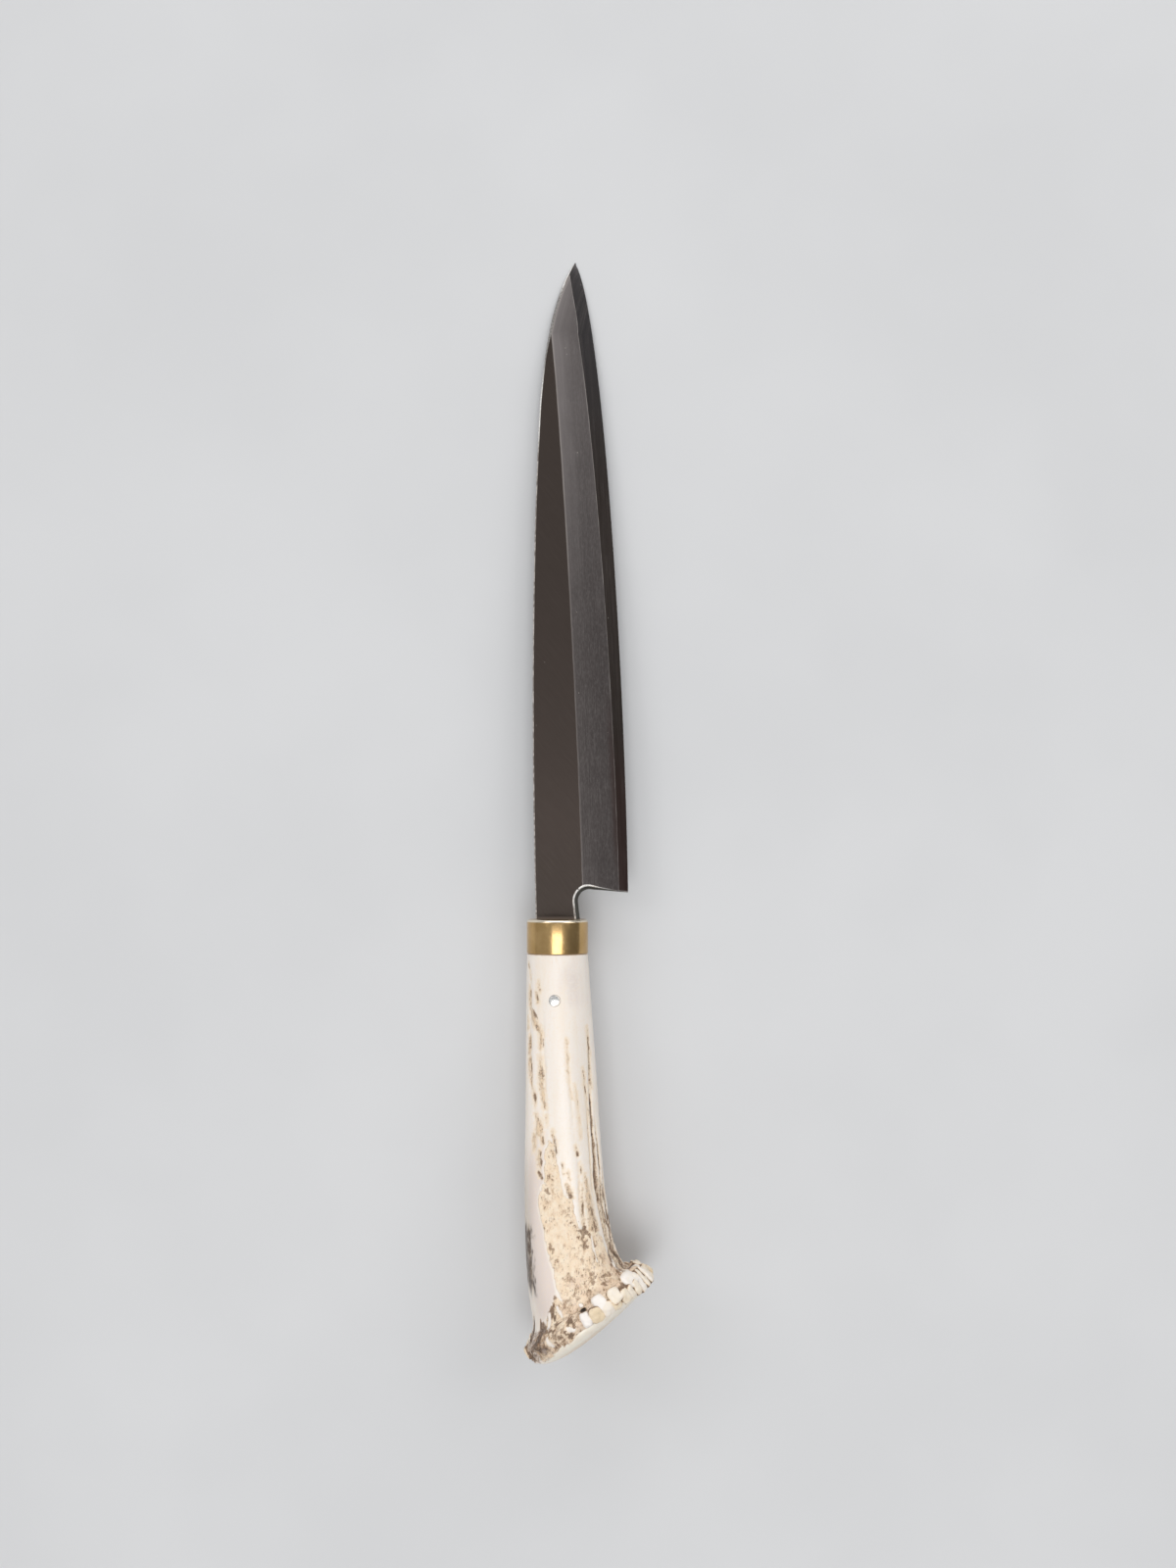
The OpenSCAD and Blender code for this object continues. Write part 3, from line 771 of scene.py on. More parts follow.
crumbs = blobs(PLAIN, (0.7, 1.3, 0.7), 31, 2)
stain_and_shade = ease((narrow - 0.38 + 0.12 * crumbs) / 0.3) * ease((U - 1.0) / 0.8)
stain_and_shade = stain_and_shade * (0.15 + 0.95 * ease(blobs(PLAIN, (1.2, 6, 1.2), 33, 2) + 0.35))
# Lengthwise darkening on the edge's flank: partly dirt, partly painted shade.
edge_flank_dirt_and_shade = ease((34 - seen_angle) / 12) * ease((seen_angle + 60) / 20) * between(U, 2.4, 6.6, 1.2)
stain_and_shade = np.maximum(stain_and_shade, 0.85 * edge_flank_dirt_and_shade * ease((blobs(PLAIN, (0.9, 5, 0.9), 37, 3) + 0.35) / 0.6))
stain_and_shade = np.maximum(stain_and_shade, 0.8 * painted(FLECKS, 0.8))
print("stained beam:", round(float((stain_and_shade > 0.5).mean() * 100), 1), "% of the map")

# %% [markdown]
# A patch of the flank on the spine's side is painted dark: mottled stain, and painted shade along
# the handle's left outline. It is bound by the distance inwards from that outline, so that it hugs it,
# and noise frays it. It fades where the flank turns down, and a faint veil of painted shade reaches further
# out.

# %% The dark patch and painted shade along the left outline
inward = PLAIN[:, 0] - through(RINGS, np.minimum(U, RIM_ROW))[:, 0]
mottle = blobs(PLAIN, (0.8, 2.0, 0.8), 35, 3)
fading = blobs(PLAIN, (2.5, 7.0, 2.5), 36, 3)
turned_down = ease((200 + 14 * fading - seen_angle) / 24)
# Mottled dark stain and painted shade, hugging the left outline.
black = ease((3.2 - inward + 0.9 * mottle) / 1.9) * between(U + 0.3 * fading, 3.15, 5.2, 0.6) * turned_down
black = np.minimum(1, black * (0.85 + 0.5 * ease(1.4 * mottle + 0.6)))
# A faint veil of painted shade reaches further from the outline.
smudge_and_outline_shade = np.maximum(black, 0.26 * ease((4.6 - inward) / 3.9) * between(U, 2.2, 5.5, 0.9))
print("smoked:", round(float((smudge_and_outline_shade > 0.5).mean() * 100), 1), "% of the map")

# %% [markdown]
# Old bark is mottled with dark blotches, which crowd towards the burr. Each is a round patch whose
# border is torn by noise.

# %% Blotches on the bark
BLOTS = (            # row, angle, radius in mm and strength of dark blotches
    (3.85, 67, 2.6, 0.7), (4.0, 64, 2.8, 0.7), (4.1, 60, 2.4, 0.7), (4.0, 114, 1.8, 0.6),
    (3.0, 112, 1.6, 0.6), (4.9, 92, 2.0, 0.5), (5.6, 101, 2.4, 0.5), (4.6, 45, 2.0, 0.5),
    (4.8, 68, 1.4, 0.4), (4.44, 72, 1.4, 0.4), (5.1, 64, 1.6, 0.6), (5.28, 66, 1.3, 0.6),
    (5.31, 54, 1.6, 0.65), (5.5, 54, 1.3, 0.65), (5.3, 46, 1.5, 0.5), (5.67, 74, 1.3, 0.5),
    (5.64, 28, 1.4, 0.6), (5.64, 90, 1.6, 0.5), (5.28, 116, 1.3, 0.7), (5.85, 122, 2.0, 0.85),
    (6.1, 116, 1.3, 0.6), (6.69, 116, 1.7, 0.8), (6.93, 121, 1.8, 0.85), (7.56, 99, 2.1, 0.85),
    (7.32, 94, 1.5, 0.5), (7.68, 109, 1.3, 0.5), (8.22, 112, 1.5, 0.75), (8.55, 104, 2.0, 0.9),
    (8.8, 96, 1.3, 0.7), (8.8, 121, 1.8, 0.8), (7.9, 119, 1.3, 0.6), (6.4, 108, 1.3, 0.4))


def blot(row, angle, size):
    """1 at a place of the map, 0 at size mm from it, and below 0 further out."""
    gap = np.linalg.norm(PLAIN - on_antler([(row, angle)]), axis=1)
    return 1 - gap / size


torn = blobs(PLAIN, 0.9, 39, 3)
for row, angle, size, strength in BLOTS:
    dabs = ease((blot(row, angle, size) + torn - 0.2) / 0.5)
    stain_and_shade = np.maximum(stain_and_shade, strength * dabs)
print("blotches:", len(BLOTS))

# %% [markdown]
# Round the burr the stain is thickest: in clods on the spine's side, as a crust over the far lobe,
# and in two wedges between its swellings. Painted shade is added in the crook behind the burr, in
# the crevices between the pearls, and in a deep pit.

# %% Stain and painted shade around the burr
burr = ease((U - VALLEY - 0.3 + 0.25 * RAGGED) / 0.8)
lobe = ease((seen_angle - 126 + 3 * crumbs) / 6) * ease((U - 6.2) / 0.3)
spine_side = ease((seen_angle - 92) / 10) * ease((U - 5.9) / 0.5)
clods = ease((blobs(PLAIN, 1.8, 41, 3) + 0.08) / 0.3)
stain_and_shade = np.maximum(stain_and_shade, 0.42 * spine_side * clods)
stain_and_shade = np.maximum(stain_and_shade, lobe * (0.5 + 0.5 * clods) * ease((9.25 - U) / 0.3))
# Painted shade in the crook behind the burr, broken up by the clods.
crook = painted([[(4.4, 30, 0.2), (4.83, 30, 0.6), (5.1, 33, 0.5), (5.4, 32, 0.1)],
                 [(4.9, 20, 0.5), (5.6, 14, 1.1), (6.3, 8, 1.5), (6.7, 2, 1.4)]], 1.0)
stain_and_shade = np.maximum(stain_and_shade, crook * (0.55 + 0.4 * clods))
wedges = painted([[(5.7, 143, 0.1), (6.1, 142, 0.6), (6.8, 140, 1.4), (7.4, 139, 1.2)],
                  [(5.6, 160, 0.1), (6.0, 162, 1.0), (6.6, 166, 1.8), (7.0, 165, 1.5)]], 0.6)
stain_and_shade = np.maximum(stain_and_shade, wedges)
# Painted shade in the crevices between the pearls.
crevices = between(seen_angle, -20, 63, 4) * between(U, 7.2, 8.9, 0.3)
stain_and_shade = np.maximum(stain_and_shade, 0.75 * crevices)
stain_and_shade = np.maximum(stain_and_shade, burr * underneath * (0.15 + 0.4 * clods))
# The deep pit is painted near black: painted shade in the hollow.
stain_and_shade = np.maximum(stain_and_shade, 1.3 * ease(2.5 * blot(7.15, 86.5, 1.15)))
print("stain covers", round(float((stain_and_shade > 0.5).mean() * 100)), "% of the map")

# %% [markdown]
# The butt face was sawn and polished, so it is clean cream again, with a spongy core in its middle.
# Its edge runs along the rim, a little higher or lower from place to place. Fainter tints finish the
# map: grime that browns the bark towards the burr, a lilac grey on the ridge beside the bed of
# bark, a rosy grey blush near the ferrule, and a fine brown line in the joint with the brass.

# %% The sawn face and faint tints
SAWN_EDGE = [        # angle and row
    (-90, 8.9), (0, 8.9), (60, 8.85), (95, 8.9), (108, 9.1), (118, 9.05), (135, 9.2), (270, 9.0)]
butt = ease((U - border(SAWN_EDGE, seen_angle) - 0.09 * RAGGED - 0.05 * crumbs) / 0.035)
bark, stain_and_shade = bark * (1 - butt), stain_and_shade * (1 - butt) * (1 - polished)
core = ease((U - 9.37 + 0.12 * RAGGED) / 0.16)
grime = 0.62 * ease((U - 4.4 + blobs(PLAIN, 4.0, 53, 3)) / 1.8) - 0.1 * spine_side
grime = np.clip(grime + 0.35 * ease((46 - seen_angle) / 20), 0, 1)
lilac = ease((seen_angle - border(BED_LEFT, U)) / 4) * ease((156 - seen_angle) / 18)
lilac = lilac * between(U, 1.9, 6.3, 0.8)
blush = ease(blot(0.42, 62, 9) + 0.5 * blobs(PLAIN, (3, 9, 3), 51, 2))
joint_line = 1 - ease((-PLAIN[:, 1] - 10.15 + 0.25 * RAGGED) / 0.35)
print("sawn face:", round(float((butt > 0.5).mean() * 100)), "% of the map")

# %% [markdown]
# The relief adds up what the map says: dug gutters, the lower and pitted bark, a slow wave along
# the beam, lumps on the burr where pearls will sit, a coarse crust on its far lobe, and the pit
# beside the first pearl. The front edge is broken by a third of a millimetre where it meets the
# ferrule.

# %% Relief and mesh of the antler
SWELLING_H, SWELLINGS = 1.1, 30     # mm, and how many there are around the burr


def burr_lumps(u, angle):
    """Height of the row of swellings around the burr, which keeps the solid's bumps."""
    step, total = 360 / SWELLINGS, 0
    for i in range(SWELLINGS):
        way = angle_gap(angle, step * (i + 0.3 * math.sin(math.radians(137 * i)))) / (0.52 * step)
        row = (u - LIP + 0.35 * math.sin(math.radians(211 * i))) / 0.75
        height = 0.8 + 0.35 * math.sin(math.radians(97 * i + 20))
        total = total + height * np.exp(-(way ** 2 + row ** 2) ** 1.6)
    return SWELLING_H * total


def burr_form(u, angle):
    """The swellings, and the valley that sets them off from the beam."""
    return 0.45 * burr_lumps(u, angle) - 0.6 * SWELLING_H * between(u, VALLEY, RIM_ROW + 0.6, 0.8)


pits = blobs(PLAIN, (0.8, 1.2, 0.8), 61, 3)
relief = burr_form(U, ANGLE) + 0.25 * between(U, 0.6, 6, 1) * np.sin(np.radians(5 * ANGLE + 35 * U))
relief -= narrow * (0.7 + 0.35 * crumbs) + broad
relief -= bark * (0.05 + 0.13 * np.maximum(pits, 0)) + 0.16 * stain_and_shade * (1 + 0.5 * crumbs)
relief += 0.35 * burr * (1 - butt) * blobs(PLAIN, 2.2, 63, 2) * (1 - 0.6 * between(seen_angle, 20, 95, 10))
relief += 0.7 * lobe * (1 - butt) * blobs(PLAIN, 1.5, 71, 3)
relief -= 0.9 * ease(1.6 * blot(7.2, 86, 1.0))
relief -= 0.35 * (1 - ease((-PLAIN[:, 1] - 10) / 0.36))
relief += 0.04 * blobs(PLAIN, (3, 12, 3), 65, 2)
skin = antler_points(U, ANGLE, relief)


def antler_mesh():
    """The skin, closed by a fan of triangles at both ends, with the map's numbers as notes."""
    n, last = AROUND, (ROW_COUNT - 1) * AROUND
    middle_front = skin[:n].mean(0)
    middle_butt = antler_points(np.array([10.0]), np.zeros(1), np.zeros(1))[0]
    points = np.concatenate([skin, [middle_front, middle_butt]])
    front, end = len(skin), len(skin) + 1
    fans = [(i, front, (i + 1) % n) for i in range(n)]
    fans += [(last + i, last + (i + 1) % n, end) for i in range(n)]
    obj = new_mesh("stag_handle", points, strips(ROW_COUNT, n) + fans)
    for name, values in (("bark", bark), ("stain_and_shade", stain_and_shade), ("lilac", lilac), ("blush", blush),
                         ("butt", butt), ("joint_line", joint_line), ("grime", grime), ("smudge_and_outline_shade", smudge_and_outline_shade),
                         ("in_bed", in_bed), ("lobe", lobe * (1 - butt)), ("core", core)):
        note(obj.data, name, np.concatenate([values, [0, values[last]]]))
    return obj


antler = antler_mesh()
print("antler relief from", round(float(relief.min()), 2), "to", round(float(relief.max()), 2), "mm")

# %% [markdown]
# ## The pearls
# The burr's pearls repeat, each a little different, so Geometry Nodes set them. A cloud of seats
# carries where each pearl lies, how it is turned, how large and how yellow it is. On the upper side
# the seats are placed one by one, and round the underside dice with a fixed seed place them. The
# tree puts a small, squared-off ball on every seat, varies its tone, and pushes its skin about with
# noise. It ends in real geometry with a material, because only that survives an export.

# %% Seats for the pearls
SHOWN_PEARLS = [     # row, angle, width, length and height in mm, tone from white to yellow
    (7.42, 71.5, 4.2, 4.8, 3.4, -0.1), (8.45, 69, 3.9, 4.6, 3.0, 0.3), (8.3, 78.5, 4.0, 4.8, 2.8, 0.95),
    (8.0, 87.5, 2.9, 4.3, 3.0, -0.1), (7.75, 58.5, 4.2, 4.6, 3.0, 0.3), (8.55, 60.5, 3.2, 3.4, 2.7, 0.8),
    (8.4, 51, 3.3, 4.8, 2.8, 0.6), (7.5, 35, 5.4, 5.4, 3.3, 0.0), (8.45, 44, 2.4, 4.0, 2.6, 0.35),
    (8.4, 36.5, 2.5, 4.8, 2.6, 0.4), (8.15, 30, 2.3, 6.2, 2.8, 0.1), (8.05, 23.5, 2.0, 6.4, 2.6, 0.35),
    (8.0, 18, 1.9, 6.2, 2.4, 0.15), (8.05, 12.5, 1.9, 5.8, 2.4, 0.55), (8.1, 6.5, 2.0, 5.4, 2.3, 0.8),
    (8.2, 0, 2.2, 5.0, 2.2, 1.0), (6.0, 86.5, 1.4, 1.4, 1.2, 0.2), (7.15, 170, 1.5, 1.6, 1.2, 0.0)]
dice = np.random.default_rng(8)
seats = list(SHOWN_PEARLS)
for i in range(21):
    hidden_angle = -3 - i * 9.2 + dice.uniform(-1.5, 1.5)
    seats.append((8.15 + dice.uniform(-0.25, 0.2), hidden_angle, dice.uniform(2.4, 3.9),
                  dice.uniform(3.0, 4.6), dice.uniform(1.9, 2.6), dice.uniform(0.1, 0.8)))
    if dice.random() < 0.75:
        seats.append((7.2 + dice.uniform(-0.25, 0.2), hidden_angle + 4.6, dice.uniform(1.6, 2.8),
                      dice.uniform(2.0, 3.4), dice.uniform(1.5, 2.1), dice.uniform(0.3, 1.0)))
seats = np.array(seats)


def surface_at(u, angle):
    """Skin point, direction along the beam and outward normal at map places. The point lies on the
    burr's swellings, and the directions are those of the plain form."""
    def plain(rows, degrees):
        return antler_points(u + rows, angle + degrees, np.zeros(len(u)))

    here = antler_points(u, angle, burr_form(u, angle))
    along = plain(0.12, 0) - plain(-0.12, 0)
    side = plain(0, 1.5) - plain(0, -1.5)
    along /= np.linalg.norm(along, axis=1)[:, None]
    normal = np.cross(along, side)
    normal /= np.linalg.norm(normal, axis=1)[:, None]
    middle = antler_points(u, angle, np.full(len(u), -5.0))
    normal *= np.sign(((here - middle) * normal).sum(1))[:, None]
    return here, along, normal


def pearl_seats():
    """A cloud of points that carry each pearl's turn, size and hue."""
    here, along, normal = surface_at(seats[:, 0], seats[:, 1])
    size = seats[:, 2:5] / 2
    centre = here - normal * (0.5 * size[:, 2])[:, None]
    axes = [np.column_stack([np.cross(a, n), a, n]) for a, n in zip(along, normal)]
    turns = [Matrix(three.tolist()).to_euler() for three in axes]
    mesh = bpy.data.meshes.new("pearl_seats")
    mesh.from_pydata(centre.tolist(), [], [])
    for name, values in (("turn", np.array(turns)), ("size", size)):
        layer = mesh.attributes.new(name, "FLOAT_VECTOR", "POINT")
        layer.data.foreach_set("vector", values.astype(np.float32).ravel())
    note(mesh, "hue", seats[:, 5])
    obj = bpy.data.objects.new("burr_pearls", mesh)
    bpy.context.scene.collection.objects.link(obj)
    return obj


pearls = pearl_seats()
print("pearls:", len(seats))

# %% [markdown]
# A tree is easier to read when each node is one line. `add` makes a node, sets it up and links it,
# and `calc` and `times` are for sums. The same three wire the materials further down.

# %% Helpers for node trees


def add(tree, kind, inputs=None, **settings):
    """A node with its settings. Each input gets a number, or a link where a socket is given."""
    made = tree.nodes.new(kind)
    for key, value in settings.items():
        setattr(made, key, value)
    for key, value in (inputs or {}).items():
        if isinstance(value, bpy.types.NodeSocket):
            tree.links.new(value, made.inputs[key])
        else:
            made.inputs[key].default_value = value
    return made


def calc(tree, operation, a, b=0.0):
    return add(tree, "ShaderNodeMath", {0: a, 1: b}, operation=operation).outputs[0]


def times(tree, *values):
    """The product of two or more sockets and numbers."""
    product = values[0]
    for value in values[1:]:
        product = calc(tree, "MULTIPLY", product, value)
    return product


print("helpers: add, calc, times")

# %% A Geometry Nodes tree that sets the pearls
SQUARENESS = -0.22    # 0 leaves a ball round, -0.25 makes it nearly a block
BALL_LEVELS = 4
TONE_SPREAD = 0.2


def socket(tree, name, kind, way="INPUT"):
    return tree.interface.new_socket(name, in_out=way, socket_type="NodeSocket" + kind)


def seat_note(tree, name, kind="FLOAT_VECTOR"):
    """What the seats carry under a name."""
    return add(tree, "GeometryNodeInputNamedAttribute", {"Name": name}, data_type=kind).outputs[0]


def keep_note(tree, geometry, name, value, domain):
    """Writes a number onto the geometry under a name, for the material to read."""
    return add(tree, "GeometryNodeStoreNamedAttribute", {"Geometry": geometry, "Name": name, "Value": value},
               data_type="FLOAT", domain=domain).outputs[0]


def pearl_block(tree, place):
    """A ball whose points are pushed out to a rounded block. `crown` notes their height."""
    ball = add(tree, "GeometryNodeMeshIcoSphere", {"Radius": 1.0, "Subdivisions": BALL_LEVELS})
    height = add(tree, "ShaderNodeSeparateXYZ", {0: place}).outputs["Z"]
    ball = keep_note(tree, ball.outputs["Mesh"], "crown", height, "POINT")
    squares = add(tree, "ShaderNodeVectorMath", {0: place, 1: place}, operation="MULTIPLY").outputs[0]
    fourths = add(tree, "ShaderNodeVectorMath", {0: squares, 1: squares}, operation="DOT_PRODUCT")
    swell = calc(tree, "POWER", fourths.outputs["Value"], SQUARENESS)
    blocky = add(tree, "ShaderNodeVectorMath", {0: place, "Scale": swell}, operation="SCALE").outputs[0]
    return add(tree, "GeometryNodeSetPosition", {"Geometry": ball, "Position": blocky}).outputs[0]


def pearl_tree():
    """Blocks on the seats, toned, made real, pushed about by noise, smoothed and finished."""
    tree = bpy.data.node_groups.new("pearls_on_seats", "GeometryNodeTree")
    socket(tree, "Seats", "Geometry")
    kinds = (("Unevenness in mm", "Float"), ("Lump size in mm", "Float"), ("Seed", "Int"),
             ("Finish", "Material"))
    names = {name: socket(tree, name, kind).identifier for name, kind in kinds}
    socket(tree, "Pearls", "Geometry", "OUTPUT")
    given = add(tree, "NodeGroupInput").outputs
    place = add(tree, "GeometryNodeInputPosition").outputs[0]

    seated = add(tree, "GeometryNodeInstanceOnPoints",
                 {"Points": given["Seats"], "Instance": pearl_block(tree, place),
                  "Rotation": seat_note(tree, "turn"), "Scale": seat_note(tree, "size")}).outputs[0]
    draw = add(tree, "FunctionNodeRandomValue", {"Seed": given["Seed"], 3: TONE_SPREAD}, data_type="FLOAT")
    drawn_tone = next(output for output in draw.outputs if output.enabled)
    tone = calc(tree, "ADD", seat_note(tree, "hue", "FLOAT"), drawn_tone)
    toned = keep_note(tree, seated, "tone", tone, "INSTANCE")
    real = add(tree, "GeometryNodeRealizeInstances", {0: toned}).outputs[0]

    scale = calc(tree, "DIVIDE", 1.0, given["Lump size in mm"])
    lumps = add(tree, "ShaderNodeTexNoise", {"Vector": place, "Scale": scale, "Detail": 2.0}).outputs[0]
    push = times(tree, calc(tree, "SUBTRACT", lumps, 0.5), given["Unevenness in mm"])
    normal = add(tree, "GeometryNodeInputNormal").outputs[0]
    outward = add(tree, "ShaderNodeVectorMath", {0: normal, "Scale": push}, operation="SCALE").outputs[0]
    moved = add(tree, "GeometryNodeSetPosition", {"Geometry": real, "Offset": outward}).outputs[0]
    smooth = add(tree, "GeometryNodeSetShadeSmooth", {0: moved}).outputs[0]
    finish = add(tree, "GeometryNodeSetMaterial", {"Geometry": smooth, "Material": given["Finish"]})
    add(tree, "NodeGroupOutput", {0: finish.outputs[0]})
    return tree, names


pearl_group, pearl_inputs = pearl_tree()
print("pearl tree:", len(pearl_group.nodes), "nodes")

# %% [markdown]
# ## The pin
# A steel pin goes through antler, resin and tang, and is filed almost flush at both ends. It is
# turned about its own axis, with a low dome at each end that follows the height of the antler there.

# %% Pin with two domed ends
PIN_DOME, PIN_SUNK = 0.24, 0.05      # mm: height of each dome, and how deep its edge lies


def pin_profile(low, high):
    """Radius and height from the lower pole to the upper one."""
    radii = PIN_D / 2 * np.sin(np.linspace(0, np.pi / 2, 9))
    heights = PIN_DOME * (1 - (radii / (PIN_D / 2)) ** 2) - PIN_SUNK
    lower = [(r, low - h) for r, h in zip(radii, heights)]
    upper = [(r, high + h) for r, h in zip(radii[::-1], heights[::-1])]
    return lower + upper


def turned_pin():
    """The pin between the heights that the antler has round it, above and below."""
    near = np.hypot(skin[:, 0] - PIN_AT[0], skin[:, 1] - PIN_AT[1]) < 0.6
    high = skin[near & (skin[:, 2] > 0), 2].mean()
    low = skin[near & (skin[:, 2] < 0), 2].mean()
    outline = pin_profile(low, high)
    rings = [pin_ring(r, z) for r, z in outline[1:-1]]
    poles = [[*PIN_AT, outline[0][1]], [*PIN_AT, outline[-1][1]]]
    n, last = PIN_SIDES, (len(rings) - 1) * PIN_SIDES
    bottom, top = last + n, last + n + 1
    faces = strips(len(rings), n)
    faces += [((i + 1) % n, i, bottom) for i in range(n)]
    faces += [(last + i, last + (i + 1) % n, top) for i in range(n)]
    print("pin from z", round(float(low), 2), "to", round(float(high), 2), "mm")
    return new_mesh("pin", np.concatenate(rings + [poles]), faces)


pin = turned_pin()

# %% [markdown]
# ## Finishes
# Every finish is a small node tree. Its patterns are set in drawing millimetres: `drawing_mm` undoes
# the laying down with one Mapping node and stretches the result with another, so that a scratch
# 0.1 mm wide is written as such. `noted` reads a mesh's notes. The other helpers only shorten the
# wiring.

# %% Wiring helpers
def material(name):
    """A material, its tree and its one surface node."""
    made = bpy.data.materials.new(name)
    made.use_nodes = True
    tree = made.node_tree
    tree.nodes.clear()
    surface = tree.nodes.new("ShaderNodeBsdfPrincipled")
    out = tree.nodes.new("ShaderNodeOutputMaterial")
    tree.links.new(surface.outputs[0], out.inputs["Surface"])
    return made, tree, surface


def drawing_mm(tree, stretch=(1, 1, 1)):
    """Object coordinates turned back into the drawing's millimetres, then stretched."""
    place = tree.nodes.new("ShaderNodeTexCoord").outputs["Object"]
    back = Matrix(turn.T.tolist())
    shift = back @ (-1 / MM * LAY_DOWN.to_translation())
    laid = add(tree, "ShaderNodeMapping", {"Vector": place, "Scale": (1 / MM,) * 3,
                                           "Rotation": back.to_euler(), "Location": shift})
    return add(tree, "ShaderNodeMapping", {"Vector": laid.outputs[0], "Scale": stretch}).outputs[0]


def noted(tree, name):
    """What a mesh's points have been given under a name."""
    return add(tree, "ShaderNodeAttribute", attribute_name=name).outputs["Fac"]


def step(tree, value, low, high, to_low=0.0, to_high=1.0):
    """A soft step while value goes from low to high."""
    ends = {"Value": value, "From Min": low, "From Max": high, "To Min": to_low, "To Max": to_high}
    return add(tree, "ShaderNodeMapRange", ends, interpolation_type="SMOOTHSTEP").outputs[0]


def grain(tree, vector, scale, detail=3.0, roughness=0.55):
    """Noise between 0 and 1, mostly near a half."""
    return add(tree, "ShaderNodeTexNoise", {"Vector": vector, "Scale": scale, "Detail": detail,
                                            "Roughness": roughness}).outputs["Fac"]


def blend(tree, factor, a, b):
    """Mixes two colours; a colour is a socket or three numbers."""
    colours = {key: value if isinstance(value, bpy.types.NodeSocket) else (*value, 1.0)
               for key, value in ((6, a), (7, b))}
    return add(tree, "ShaderNodeMix", {0: factor, **colours}, data_type="RGBA").outputs[2]


def bump(tree, height, distance, strength):
    inputs = {"Height": height, "Distance": distance, "Strength": strength}
    return add(tree, "ShaderNodeBump", inputs).outputs[0]


def wire(tree, surface, **sockets):
    """Links a finish to its surface."""
    names = {"colour": "Base Color", "roughness": "Roughness", "normal": "Normal"}
    for key, value in sockets.items():
        tree.links.new(value, surface.inputs[names[key]])


def stretched(tree, across, along):
    """A vector from two numbers, for streaks that follow the blade."""
    return add(tree, "ShaderNodeCombineXYZ", {0: across, 1: along}).outputs[0]


print("wiring helpers ready")

# %% [markdown]
# The iron is a dull, dark grey-brown on the flat, finished with fine diagonal polishing lines, and a
# lighter, colder grey on the bevel, where the stone ran lengthwise. Streaks on the bevel follow the
# notes `across` and `along`, so they bend with the edge. The ridge and the weld catch the light as
# two fine lines, and near the heel the bevel has a brown patina beside the weld.

# %% Colours and streaks of the blade
FLAT_BROWN, FLAT_AT_TIP, FLAT_AT_NECK = (0.086, 0.068, 0.060), (0.080, 0.064, 0.056), (0.058, 0.047, 0.041)
FLAT_LINE, FLAT_CLOUD, NECK_END_WEAR_AND_REFLECTION = (0.25, 0.21, 0.185), (0.055, 0.044, 0.038), (0.24, 0.20, 0.175)
LOW_BEVEL, LOW_AT_TIP = (0.080, 0.069, 0.067), (0.15, 0.135, 0.133)
HIGH_BEVEL, HIGH_AT_TIP = (0.105, 0.092, 0.089), (0.27, 0.246, 0.243)
BEVEL_SHADE, BEVEL_LINE, BEVEL_SATIN = (0.07, 0.062, 0.06), (0.28, 0.255, 0.25), (0.25, 0.23, 0.225)
PATINA, SPECK = (0.055, 0.036, 0.033), (0.5, 0.46, 0.42)
RIDGE_LIGHT, WELD_LIGHT = (0.42, 0.38, 0.36), (0.40, 0.37, 0.35)
LINES_TURN = math.radians(-38)     # how the polishing lines lie on the flat


def length_streaks(tree, fineness, slowness=0.09):
    """Streaks that follow the blade: fine across it, slow along it."""
    across = times(tree, noted(tree, "bevel_mm"), fineness)
    along = times(tree, noted(tree, "along"), slowness)
    return grain(tree, stretched(tree, across, along), 1.0, 5.0, 0.62)


def specks(tree, vector, spacing, share):
    """Sparse bright dots, one in a few cells of the given spacing in mm."""
    cells = add(tree, "ShaderNodeTexVoronoi", {"Vector": vector, "Scale": 1 / spacing, "Randomness": 1.0})
    chosen = add(tree, "ShaderNodeSeparateColor", {"Color": cells.outputs["Color"]}).outputs[0]
    dot = step(tree, cells.outputs["Distance"], 0.16 / spacing, 0.09 / spacing)
    return times(tree, dot, step(tree, chosen, 1 - share, 1 - share + 0.01))


print("iron from", FLAT_CLOUD, "to", SPECK)

# %% Iron of the flat and the bevel
def flat_colour(tree, diagonal, cloud, along, to_tip):
    """The flat: clouded, darker at the neck, with polishing lines, and a lighter edge at the ferrule that is
    rubbed and carries a painted reflection of the brass.
    """
    flat = blend(tree, to_tip, FLAT_BROWN, FLAT_AT_TIP)
    flat = blend(tree, step(tree, along, 34, 0), flat, FLAT_AT_NECK)
    flat = blend(tree, step(tree, diagonal, 0.4, 0.8, 0.0, 0.1), flat, FLAT_LINE)
    flat = blend(tree, step(tree, cloud, 0.35, 0.7, 0.0, 0.3), flat, FLAT_CLOUD)
    # Rubbed end of the neck, with a painted reflection of the brass.
    return blend(tree, step(tree, along, 1.1, 0.3, 0.0, 0.8), flat, NECK_END_WEAR_AND_REFLECTION)


